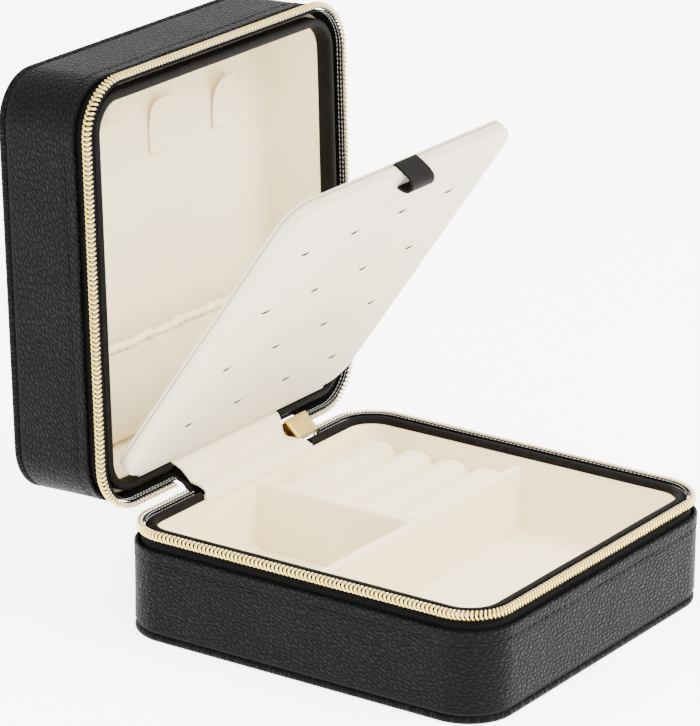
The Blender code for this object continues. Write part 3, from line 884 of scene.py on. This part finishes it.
# %% The coil
def coil(name, place, span, finish, deep, inside, steps=14, sides=6):
    """Flat helix about depth `deep` and inset `inside`: depth + d cos t, inset - i sin t (squared off)."""
    turns = int((span[1] - span[0]) / COIL_PITCH)
    phase = np.arange(turns * steps + 1) / steps
    t = 2.0 * np.pi * phase
    square = np.sign(np.sin(t)) * np.abs(np.sin(t)) ** 0.6
    depth = deep + 1.15 * np.cos(t)
    inset = inside - 0.62 * square
    lean = 0.42 * COIL_PITCH * np.abs(np.sin(t)) * np.sign(np.sin(t))
    distance = span[0] + phase * COIL_PITCH + lean
    x, y = RIM.at(distance, inset)
    line = xyz(x, y, depth)
    head = np.clip(-np.cos(t), 0.0, 1.0) ** 3
    radius = 0.40 + 0.10 * head
    tangent = np.gradient(line, axis=0)
    tangent /= np.linalg.norm(tangent, axis=1, keepdims=True)
    ahead_x, ahead_y = RIM.along(distance)
    ahead = xyz(ahead_x, ahead_y, 0.0)
    side = ahead - tangent * np.sum(ahead * tangent, axis=1, keepdims=True)
    side /= np.linalg.norm(side, axis=1, keepdims=True)
    third = np.cross(tangent, side)
    spin = 2.0 * np.pi * np.arange(sides) / sides
    rings = side[:, None] * np.cos(spin)[None, :, None] + third[:, None] * np.sin(spin)[None, :, None]
    points = line[:, None] + rings * radius[:, None, None]
    once_round = np.mod(phase, 1.0)
    once_round = once_round[:, None] + np.zeros(sides + 1)
    lay = np.stack(np.broadcast_arrays(distance[:, None], once_round), axis=-1)
    return shell(name, place(points), finish, lay=lay, sharp=180.0)


# Depth and inset of each coil's middle; the lid's coil stands outside the leather.
COIL_PLACE = {"base": (2.0, 1.7), "lid": (3.1, -0.2)}

for half, (place, _, _) in HALVES.items():
    teeth = coil(f"{half}_coil", place, ZIP_SPAN, GOLD, *COIL_PLACE[half])
    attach(teeth, half)
    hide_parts(f"{half}_zip_teeth")
    print(teeth.name, len(teeth.data.polygons), "faces")

# %% [markdown]
# ## The smooth binding
#
# A strip of smooth leather is folded over the top of the inner wall. It is stuffed a little, so its
# top is round, and its lower edge is cut straight and lies over the velvet. It stops either
# side of the hinge.

# %% The smooth binding
BINDING_ENDS = {"base": (-28.3, 29.0), "lid": (-30.1, 25.3)}


def binding_section(band_end, sunk):
    """Rounded top between the tape and the inner face, then a soft drop to the cut edge."""
    corners = [(4.0, 2.4), (4.15, 1.75), (4.9, 1.25), (5.9, 1.25), (6.6, 1.8), (6.85, 2.6)]
    shoulder = curve_through(corners, 19) + (0.0, sunk)
    low = max(band_end, 3.2)
    middle = (6.85 + 0.06, (2.6 + sunk + low) / 2)
    drop = np.array([middle, (BAND_INNER, low - 0.12), (BAND_INNER - 0.12, low)])
    back = np.array([(4.75, low), (4.7, low + 2.0), (4.0, low + 2.0)])
    return np.vstack([shoulder, drop, back])


for half, (place, _, band_end) in HALVES.items():
    binding = sweep(
        f"{half}_binding", binding_section(band_end, SUNK[half]), place, BINDING,
        span=RIM.ends(*BINDING_ENDS[half]), sharp=50.0,
        relief=lambda distance, depth: 0.05 * np.sin(distance / 6.7) * np.sin(depth),
    )
    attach(binding, half)
    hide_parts(f"{half}_inner_band")
    print(binding.name, len(binding.data.polygons), "faces")

# %% [markdown]
# ## Velvet walls and floors
#
# The inner wall is velvet glued over card. It goes up under the binding, and at the foot it turns
# into the floor with a small cove, because pile hides a sharp corner. The floor is a sheet with a
# barely visible unevenness of a tenth of a millimetre.

# %% Velvet walls and floors
COVE = 1.6


def lining_section(top, floor):
    """The wall's closed section: up under the binding, down the face, and round the cove."""
    face = BAND_INNER - 0.1
    shoulder = np.array([(5.0, top), (face - 0.4, top), (face - 0.1, top + 0.1), (face, top + 0.4)])
    cove = arc((face + COVE, floor - COVE), COVE, 180.0, 270.0, 8)
    under = np.array([(face + COVE, floor + 0.9), (5.0, floor + 0.9)])
    return np.vstack([shoulder, cove, under])


def soft_floor(name, place, floor, finish):
    """Rings that shrink towards the middle, with depth = floor + a small product of two sines."""
    walk = RIM.stations(straight=3.0)[:-1]
    edge_x, edge_y = RIM.at(walk, BAND_INNER + COVE - 0.3)
    shrink = np.linspace(1.0, 0.03, 24)[:, None]
    x, y = edge_x[None] * shrink, edge_y[None] * shrink
    depth = floor + 0.02 + 0.07 * np.sin(x / 7.7 + 0.4) * np.sin(y / 9.3)
    under = xyz(edge_x[None], edge_y[None], floor + 1.25)
    return shell(name, place(np.concatenate([under, xyz(x, y, depth)])), finish)


for half, floor, sheet_node in (("base", BASE_FLOOR, "lining_floor"), ("lid", LID_BACK, "lining_back")):
    place, _, band_end = HALVES[half]
    wall = sweep(f"{half}_velvet_wall", lining_section(max(band_end, 3.2) - 0.9, floor), place, CREAM)
    sheet = soft_floor(f"{half}_velvet_floor", place, floor, CREAM)
    for item, node in ((wall, "lining_wall"), (sheet, sheet_node)):
        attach(item, half)
        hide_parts(f"{half}_{node}")
    print(wall.name, len(wall.data.polygons), "faces;", sheet.name, len(sheet.data.polygons), "faces")

# %% [markdown]
# ## Dividers
#
# A divider is card wrapped in velvet: flat sides, and a top edge that is round because the cloth
# is pulled over it. The section is a wall with a half ellipse on top, and it runs the
# whole length of the compartment.

# %% Dividers
def divider(name, node, along):
    """A wall whose section is two straight sides and a half ellipse, a hair thicker at mid height."""
    low, high = frame_box(node)
    across = 1 - along
    middle, half = (low[across] + high[across]) / 2, (high[across] - low[across]) / 2
    turn = np.linspace(0.0, np.pi, 15)
    rise = np.linspace(0.0, 1.0, 9)[:-1]
    side_z = low[2] - 0.2 + (high[2] - 1.3 - low[2]) * rise
    bulge = half + 0.12 * np.sin(np.pi * rise)
    width = np.concatenate([bulge, half * np.cos(turn), -bulge[::-1]])
    height = np.concatenate([side_z, high[2] - 1.3 + 1.3 * np.sin(turn), side_z[::-1]])
    steps = np.linspace(low[along] - 0.4, high[along] + 0.4, 60)[:, None]
    wave = 0.10 * np.sin(steps / 6.1) * (height - low[2]) / 20.0
    parts = [steps + 0 * width, middle + width[None] + wave, height[None] + 0 * steps]
    order = parts if along == 0 else [parts[1], parts[0], parts[2]]
    item = shell(name, xyz(*order), CREAM, sharp=60.0)
    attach(item, "base")
    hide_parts(node)
    return item


for name, node, along in (("long_divider", "divider_long", 0), ("short_divider", "divider_short", 1)):
    made = divider(name, node, along)
    print(made.name, len(made.data.polygons), "faces")

# %% [markdown]
# ## Ring rolls
#
# Four rolls of foam wrapped in velvet lie pressed together, and rings are pushed into the slots
# between them. The wrapping pulls their ends in, and each roll's flat sides are only where it
# meets its neighbour. The section is a superellipse over straight sides, and a cap function
# lowers it towards both ends. The last roll is trimmed to the round corner of the wall.

# %% Ring rolls
def ring_roll(number):
    """z = top of a superellipse of y, times an end cap of x; y is held inside the corner."""
    low, high = frame_box(f"ring_roll_{number}")
    middle = low[1] + 6.75
    half = 6.62
    turn = np.linspace(0.0, np.pi, 29)
    swell_y = half * np.sign(np.cos(turn)) * np.abs(np.cos(turn)) ** 0.82
    swell_z = 9.0 * np.sin(turn) ** 0.9
    foot = np.array([(-half, 0.0), (-half + 1.0, -0.4), (half - 1.0, -0.4), (half, 0.0)])
    section_y = np.concatenate([swell_y, foot[:, 0]])
    crown_z = np.concatenate([swell_z, np.zeros(4)])
    wall_z = np.concatenate([np.full(29, high[2] - 9.0), np.full(4, low[2] + 0.4)])
    run = np.linspace(0.0, 1.0, 44)
    steps = low[0] - 0.15 + (high[0] - low[0] + 0.3) * (0.5 - 0.5 * np.cos(np.pi * run))
    from_end = np.minimum(steps - low[0] + 0.15, high[0] + 0.15 - steps)
    cap = 1.0 - 0.16 * np.exp(-from_end / 1.6)
    x = steps[:, None]
    y = middle + section_y[None] * (1.0 - 0.03 * np.exp(-from_end / 1.5))[:, None]
    wave = 0.15 * np.sin(x / 5.7 + number) + 0.10 * np.sin(x / 2.9 + 2.0 * number)
    z = wall_z[None] + crown_z[None] * cap[:, None] + wave * crown_z[None] / 9.0
    inner = CORNER - BAND_INNER - 0.2
    past = np.clip(x - (HALF_WIDTH - CORNER), 0.0, inner * 0.999)
    limit = BACK - CORNER + np.sqrt(inner**2 - past**2)
    item = shell(f"roll_{number}", xyz(x + 0 * y, np.minimum(y, limit), z), CREAM, sharp=75.0)
    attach(item, "base")
    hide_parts(f"ring_roll_{number}")
    return item


for number in range(1, 5):
    made = ring_roll(number)
    print(made.name, len(made.data.polygons), "faces")

# %% [markdown]
# ## Necklace hooks
#
# Each hook is a tongue of velvet, sewn down along its foot, whose round upper end curls away
# from the lining so that a chain can hang behind it. Worked out as a thin shell: height runs one
# way and the other way goes round the tongue, front and back. Each curls by its own amount.

# %% Necklace hooks
HOOK_PITCH, HOOK_MIDDLE_X = 32.6, 2.5
HOOK_FOOT, HOOK_HEIGHT = 93.4, 17.0
HOOK_HALF, HOOK_THICK, HOOK_ROUND = 5.05, 1.1, 3.8


def necklace_hook(number, curl):
    """The tongue stands off the lining by curl * t^3.2 at height t, and is narrow at its round top."""
    t = 1.0 - (1.0 - np.linspace(0.0, 0.995, 34)) ** 1.5
    up = HOOK_FOOT + HOOK_HEIGHT * t
    over = np.clip(up - (HOOK_FOOT + HOOK_HEIGHT - HOOK_ROUND), 0.0, None)
    half = HOOK_HALF - HOOK_ROUND + np.sqrt(np.clip(HOOK_ROUND**2 - over**2, 0.0, None))
    turn = np.linspace(0.0, 2.0 * np.pi, 28, endpoint=False)
    across = np.sign(np.cos(turn)) * np.abs(np.cos(turn)) ** 0.55
    through = np.sign(np.sin(turn)) * np.abs(np.sin(turn)) ** 0.8 * HOOK_THICK / 2
    stand_off = HOOK_THICK / 2 + 0.15 + curl * t**3.2
    cup = 0.5 * t[:, None] * across[None] ** 2
    x = HOOK_MIDDLE_X + (number - 2) * HOOK_PITCH + half[:, None] * across[None]
    depth = LID_BACK - stand_off[:, None] + through[None] + cup
    item = shell(f"hook_{number}", in_lid(xyz(x, HINGE_Y - up[:, None] + 0 * x, depth)), CREAM, sharp=60.0)
    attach(item, "lid")
    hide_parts(f"necklace_hook_{number}")
    return item


for number, curl in enumerate((7.6, 2.8, 4.6), start=1):
    made = necklace_hook(number, curl)
    print(made.name, len(made.data.polygons), "faces")

# %% [markdown]
# ## The gathered pocket
#
# The pocket is a slack sheet cut about a quarter wider than the lid. Its foot is glued down along
# the lid's lower wall, and elastic in its hem draws the top in, so folds run down from the hem and
# fade out. The sheet's stand-off is a smooth curve of height plus a ripple: a sum of sines in x
# whose amplitude is greatest just under the hem.

# %% The gathered pocket
POCKET_PATH = [(9.0, 25.8), (12.5, 22.6), (19.0, 20.0), (27.0, 19.4), (34.0, 20.3), (39.5, 21.2)]


def folds(x, t):
    """The ripple at x: three sines that drift in phase with height t, so no fold runs dead straight."""
    drift = 0.5 * np.sin(x / 17.0) + 0.5 * t
    return (
        0.50 * np.sin(x / 1.75 + 2.1 * np.sin(x / 11.0) + drift)
        + 0.32 * np.sin(x / 2.9 + 1.7 + drift)
        + 0.30 * np.sin(x / 5.2 + 0.6)
    )


def inner_half_width(up):
    """Half the width between the lid's side linings at this height above the hinge line."""
    corner = CORNER - BAND_INNER
    short = np.clip(corner - (up - (HINGE_Y - BACK) - BAND_INNER), 0.0, corner)
    return HALF_WIDTH - BAND_INNER - 0.3 - corner + np.sqrt(corner**2 - short**2)


def gathered_pocket():
    path = curve_through(POCKET_PATH, 22)
    t = np.linspace(0.0, 1.0, len(path))
    s = np.linspace(-1.0, 1.0, 420)[:, None]
    fade = 0.15 + 0.85 * np.sin(np.pi * np.clip(t * 0.62 + 0.08, 0.0, 1.0)) ** 1.5
    x = s * inner_half_width(path[:, 0])[None]
    ripple = folds(x, t[None]) * fade[None] * 1.5 * (1.0 - np.abs(s) ** 14)
    front = xyz(x, HINGE_Y - path[None, :, 0] + 0 * x, path[None, :, 1] + ripple - 0.3)
    back = xyz(x, HINGE_Y - path[None, :, 0] + 0 * x, path[None, :, 1] + ripple + 0.3)
    sheet = shell("pocket_cloth", in_lid(np.concatenate([front, back[:, ::-1]], axis=1)), CREAM, sharp=75.0)
    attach(sheet, "lid")
    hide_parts("lid_pocket")
    return sheet


def pocket_hem():
    """A soft tube over the elastic: its radius puckers and its line follows the folds a little."""
    x = np.linspace(-1.0, 1.0, 420)[:, None] * (inner_half_width(40.3) - 0.2)
    turn = np.linspace(0.0, 2.0 * np.pi, 12, endpoint=False)[None]
    pucker = 1.25 + 0.22 * np.sin(x / 0.62 + np.sin(x / 4.0)) + 0.12 * folds(x, 1.0)
    depth = 21.3 + 0.55 * folds(x, 1.0) + pucker * np.sin(turn)
    up = 40.4 + 0.20 * np.sin(x / 3.1) + pucker * np.cos(turn)
    hem = shell("pocket_hem", in_lid(xyz(x + 0 * turn, HINGE_Y - up, depth)), CREAM, sharp=80.0)
    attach(hem, "lid")
    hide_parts("lid_pocket_elastic")
    return hem


pocket, hem = gathered_pocket(), pocket_hem()
print(pocket.name, len(pocket.data.polygons), "faces")

# %% [markdown]
# ## The earring panel
#
# The panel is card in a velvet skin. The skin is pulled round the edges, so the slab has soft
# round shoulders, and it is closed by a second sheet on the back, which leaves a fine seam along
# the side. The slits are real cuts: narrow curved lenses cut through the skin, whose walls take
# the cutters' black thread finish as painted shade.

# %% The earring panel
PANEL_HALF, PANEL_NEAR, PANEL_FAR, PANEL_CORNER = 57.7, 1.0, 114.6, 9.0
PANEL_SEAM, PANEL_THICK = 4.3, 5.6
PANEL_RIM = Rim(
    PANEL_HALF, -PANEL_FAR + (PANEL_FAR + PANEL_NEAR) / 2, (PANEL_FAR - PANEL_NEAR) / 2, PANEL_CORNER,
)
PANEL_MIDDLE_Y = -(PANEL_FAR + PANEL_NEAR) / 2
SLIT_PITCH_X, SLIT_PITCH_Y, SLIT_MIDDLE_X, SLIT_FIRST = 25.2, 24.6, -0.9, 19.9
SLIT_LONG, SLIT_WIDE, SLIT_DEEP = 5.0, 1.15, 1.6


def slab(name, edge, dome, finish):
    """Rings from an edge profile of (inset, z), then shrinking rings over a face that is slightly domed."""
    walk = PANEL_RIM.stations(straight=3.0, corner=0.9)[:-1]
    edge = np.asarray(edge, float)
    edge_x, edge_y = PANEL_RIM.at(walk[None], edge[:, :1])
    rim = xyz(edge_x, edge_y, edge[:, 1:])
    shrink = np.linspace(1.0, 0.03, 26)[1:, None]
    x, y = edge_x[-1][None] * shrink, edge_y[-1][None] * shrink
    face = xyz(x, y, edge[-1, 1] + dome * (1.0 - shrink**6) + 0.05 * np.sin(x / 6.3) * np.sin(y / 7.9))
    points = np.concatenate([rim, face])
    points[..., 1] += PANEL_MIDDLE_Y
    return shell(name, in_panel(points), finish, sharp=60.0)


def slit_cutters():
    """Sixteen curved lenses: across = bend * (1 - s^2) and half width = w (1 - s^2)."""
    s = np.linspace(-0.98, 0.98, 11)
    bow, half = 0.35 * (1.0 - s**2), SLIT_WIDE / 2 * (1.0 - s**2)
    outline_x = np.concatenate([s, s[::-1]]) * SLIT_LONG / 2
    outline_y = np.concatenate([bow + half, (bow - half)[::-1]])
    grid = np.arange(4)
    middle_x = SLIT_MIDDLE_X + (grid - 1.5) * SLIT_PITCH_X
    middle_y = -(SLIT_FIRST + grid * SLIT_PITCH_Y)
    count = len(outline_x)
    numbers = np.arange(2 * count).reshape(2, count)
    one = corners_of(np.pad(numbers, ((0, 0), (0, 1)), mode="wrap"))
    points, quads, caps = [], [], []
    for k, (my, mx) in enumerate([(my, mx) for my in middle_y for mx in middle_x]):
        points.append(xyz(mx + outline_x, my + outline_y, -1.0))
        points.append(xyz(mx + outline_x, my + outline_y, SLIT_DEEP))
        quads.append(one + 2 * count * k)
        caps += [numbers[0][::-1] + 2 * count * k, numbers[1] + 2 * count * k]
    points, quads = in_panel(np.concatenate(points)), np.concatenate(quads)
    uv = points[np.concatenate([quads.ravel(), *caps])][:, :2]
    # the cutters carry the black thread finish, which becomes painted shade on the slit walls
    return joined_piece("slit_cutters", points, quads, caps, uv, BLACK_THREAD_AND_SLIT_SHADE)


def cut_slits(item):
    """Cut the slits with a Boolean, keep the result as the mesh, and drop the cutter; the walls keep its black, as
    painted shade.
    """
    cutter = slit_cutters()
    change = item.modifiers.new("slits", "BOOLEAN")
    change.operation = "DIFFERENCE"
    # TRANSFER puts the cutters' black finish on the slit walls: painted shade
    change.material_mode = "TRANSFER"
    change.object = cutter
    bpy.context.view_layer.update()
    graph = bpy.context.evaluated_depsgraph_get()
    cut = bpy.data.meshes.new_from_object(item.evaluated_get(graph))
    item.modifiers.clear()
    item.data = cut
    bpy.data.objects.remove(cutter, do_unlink=True)


front_edge = np.vstack([
    [(6.0, PANEL_SEAM - 0.05), (0.9, PANEL_SEAM - 0.05), (0.25, PANEL_SEAM - 0.25), (0.0, PANEL_SEAM - 0.8)],
    arc((1.5, 1.5), 1.5, 180.0, 90.0, 9),
])
back_edge = [
    (6.0, PANEL_SEAM + 0.05), (0.9, PANEL_SEAM + 0.05), (0.2, PANEL_SEAM + 0.35),
    (0.3, PANEL_THICK - 0.45), (1.1, PANEL_THICK),
]
panel_front = slab("panel_slit_face", front_edge, -0.25, PANEL_CREAM)
cut_slits(panel_front)
panel_back = slab("panel_back_sheet", back_edge, 0.15, PANEL_CREAM)
for item, node in ((panel_front, "panel_front_cover"), (panel_back, "panel_back_cover")):
    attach(item, "panel")
    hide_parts(node)
    print(item.name, len(item.data.polygons), "faces")


def along_x(name, outline, left, right, place, finish, steps=14):
    """A closed outline of (y, z) carried from x = left to x = right, which may differ point by point."""
    outline = np.asarray(outline, float)
    share = np.linspace(0.0, 1.0, steps)[:, None]
    x = left + (right - left) * share
    points = place(xyz(x + 0 * outline[None, :, 0], outline[None, :, 0], outline[None, :, 1]))
    return shell(name, points, finish, sharp=50.0)


fold_turn = np.linspace(0.0, 2.0 * np.pi, 16, endpoint=False)
fold_outline = np.stack([-0.6 + 1.0 * np.cos(fold_turn), 1.3 + 1.25 * np.sin(fold_turn)], axis=-1)
fold = along_x("panel_fold", fold_outline, -48.0, 48.0, in_panel, PANEL_CREAM)
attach(fold, "panel")
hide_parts("panel_hinge_fold")

# %% [markdown]
# ## The panel's pull loop
#
# A short strap of smooth leather is folded into a flat loop by the middle of the panel's free edge.
# The strap follows a rounded path, as a ribbon of (y, z) points.

# %% The panel's pull loop
LOOP_PATH = [
    (-114.75, 4.4), (-115.0, 3.0), (-115.1, 0.6), (-115.0, -1.8), (-114.4, -3.6), (-112.9, -4.4),
    (-111.3, -3.9), (-110.4, -2.5), (-109.9, -0.45),
]
loop_outline = ribbon(curve_through(LOOP_PATH, 60), 0.85)
loop = along_x("panel_pull_loop", loop_outline, -5.6, 5.6, in_panel, BINDING)
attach(loop, "panel")
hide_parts("panel_pull_tab")
print(loop.name, len(loop.data.polygons), "faces")

# %% [markdown]
# ## Hinge strips
#
# The case has no metal hinge. A velvet strip inside and a leather strip behind it join the halves.
# Each is drawn once, bent as it lies with the lid open, and rides on neither body. Their sides are
# drawn in at the hinge line, where the zip's ends and the slider need room, so the width is a smooth
# function of the way along the strip.

# %% Hinge strips
def hinge_strip(name, path, thick, left, right, finish):
    """left and right are three x values each: at the base, at the hinge line and at the lid."""
    outline = ribbon(curve_through(path, 46), thick)
    way = np.linspace(0.0, 1.0, 46)
    way = np.concatenate([way, way[::-1]])
    pinch = np.sin(np.pi * way) ** 1.5

    def side(ends):
        return ends[0] + (ends[2] - ends[0]) * way + (ends[1] - (ends[0] + ends[2]) / 2) * pinch

    def same(points):
        return points

    strip = along_x(name, outline, side(left)[None], side(right)[None], same, finish, steps=40)
    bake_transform(strip)
    return strip


VELVET_PATH = [
    (58.1, 30.4), (58.1, 32.2), (58.9, 33.7), (61.0, 34.6), (63.5, 34.7), (65.3, 35.0),
    (66.1, 36.2), (66.7, 38.0), (67.6, 39.8), (69.0, 41.3), (71.2, 42.3),
]
LEATHER_PATH = [
    (63.0, 22.5), (63.0, 26.0), (63.2, 29.2), (64.0, 31.6), (65.0, 33.3), (66.5, 34.9),
    (68.3, 36.1), (71.2, 37.0), (75.0, 37.1), (79.0, 36.9),
]
velvet_strip = hinge_strip(
    "velvet_hinge_strip", VELVET_PATH, 0.5, (-28.3, -25.3, -30.1), (29.0, 24.2, 25.3), CREAM,
)
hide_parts("base_hinge_lining", "lid_hinge_lining")
leather_strip = hinge_strip(
    "leather_hinge_strip", LEATHER_PATH, 0.6, (-31.0, -27.6, -31.0), (26.0, 24.2, 26.0), BINDING,
)
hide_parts("base_hinge_spine", "lid_hinge_spine")
print(velvet_strip.name, leather_strip.name)

# %% [markdown]
# ## The slider and its pull
#
# The slider, its bridge and its pull are cast, so every edge of theirs is a little round. Each is
# the frame's own solid with its flat faces joined up again and a small bevel on every edge.

# %% The slider and its pull
def cast_piece(name, node, radius, body):
    """A copy of a frame solid with rounded edges, riding on the same body."""
    form = bmesh.new()
    form.from_mesh(frame["nodes"][node].data)
    bmesh.ops.remove_doubles(form, verts=form.verts, dist=0.01 * MM)
    bmesh.ops.dissolve_limit(form, angle_limit=math.radians(2.0), verts=form.verts, edges=form.edges)
    edges = [edge for edge in form.edges if edge.calc_face_angle(0.0) > math.radians(20.0)]
    bmesh.ops.bevel(
        form, geom=edges, offset=radius * MM, segments=3, profile=0.5, affect="EDGES", clamp_overlap=True,
    )
    mesh = bpy.data.meshes.new(name)
    form.to_mesh(mesh)
    form.free()
    mesh.materials.clear()
    mesh.materials.append(BRASS)
    mesh.shade_smooth()
    mesh.set_sharp_from_angle(angle=math.radians(50.0))
    item = bpy.data.objects.new(name, mesh)
    bpy.context.scene.collection.objects.link(item)
    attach(item, body)
    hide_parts(node)
    return item


for name, node, radius, body in (
    ("slider_casting", "slider_body", 0.28, "slider"),
    ("slider_bridge_casting", "slider_bridge", 0.22, "slider"),
    ("pull_casting", "slider_pull", 0.22, "slider_pull"),
):
    made = cast_piece(name, node, radius, body)
    print(made.name, len(made.data.polygons), "faces")

# %% [markdown]
# ## Inner layers
#
# The boards and the lid's pad are sealed between leather and velvet. They stay as the frame has
# them and only take their finish.

# %% Inner layers
INNER = {
    "base_bottom_board": CARD, "base_side_board": CARD, "lid_top_board": CARD, "lid_side_board": CARD,
    "panel_board": CARD, "lid_top_pad": FOAM,
}
for node, finish in INNER.items():
    frame["nodes"][node].data.materials.clear()
    frame["nodes"][node].data.materials.append(finish)
print(len(INNER), "inner layers finished")

# %% [markdown]
# ## Floor, sky and lamps
#
# A pale floor and a nearly white sky, with one large soft lamp from above the camera's right and a
# weaker one from the left. Big lamps give wide soft shadows.

# %% Floor, sky and lamps
def soft_lamp(name, at, to, size, power, tint):
    """A square area lamp at one point, aimed at another, both in metres."""
    data = bpy.data.lights.new(name, "AREA")
    data.energy, data.size, data.color = power, size, tint
    lamp = bpy.data.objects.new(name, data)
    bpy.context.scene.collection.objects.link(lamp)
    turn = (Vector(at) - Vector(to)).to_track_quat("Z", "Y")
    lamp.matrix_world = Matrix.Translation(at) @ turn.to_matrix().to_4x4()
    return lamp


def pale_floor():
    """A large flat square under the case."""
    material, shader, wire = new_finish("pale_floor")
    cloud = wire.noise(place_of(wire), 0.01, detail=2.0)
    shade = cloud.mix(colour(0.95, 0.95, 0.95), colour(0.97, 0.97, 0.97))
    connect(wire, shader, {"Base Color": shade, "Roughness": 0.9})
    shader.inputs["Emission Color"].default_value = colour(1.0, 1.0, 1.0)
    shader.inputs["Emission Strength"].default_value = 4.5
    mesh = bpy.data.meshes.new("floor")
    far = 20.0
    corners = [(-far, -far, 0.0), (far, -far, 0.0), (far, far, 0.0), (-far, far, 0.0)]
    mesh.from_pydata(corners, [], [(0, 1, 2, 3)])
    mesh.materials.append(material)
    floor = bpy.data.objects.new("floor", mesh)
    bpy.context.scene.collection.objects.link(floor)
    return floor


def white_sky(strength):
    world = bpy.data.worlds.new("sky")
    world.use_nodes = True
    background = world.node_tree.nodes["Background"]
    background.inputs["Color"].default_value = (1.0, 1.0, 1.0, 1.0)
    background.inputs["Strength"].default_value = strength
    bpy.context.scene.world = world


AIM = (0.0, 0.01, 0.05)
floor = pale_floor()
key = soft_lamp("key", (0.10, -0.75, 1.05), AIM, 0.7, 34.0, (1.0, 0.98, 0.95))
fill = soft_lamp("fill", (-1.0, -0.1, 0.6), AIM, 0.9, 7.0, (0.98, 0.99, 1.0))
white_sky(3.1)
print("floor, sky and", 2, "lamps")
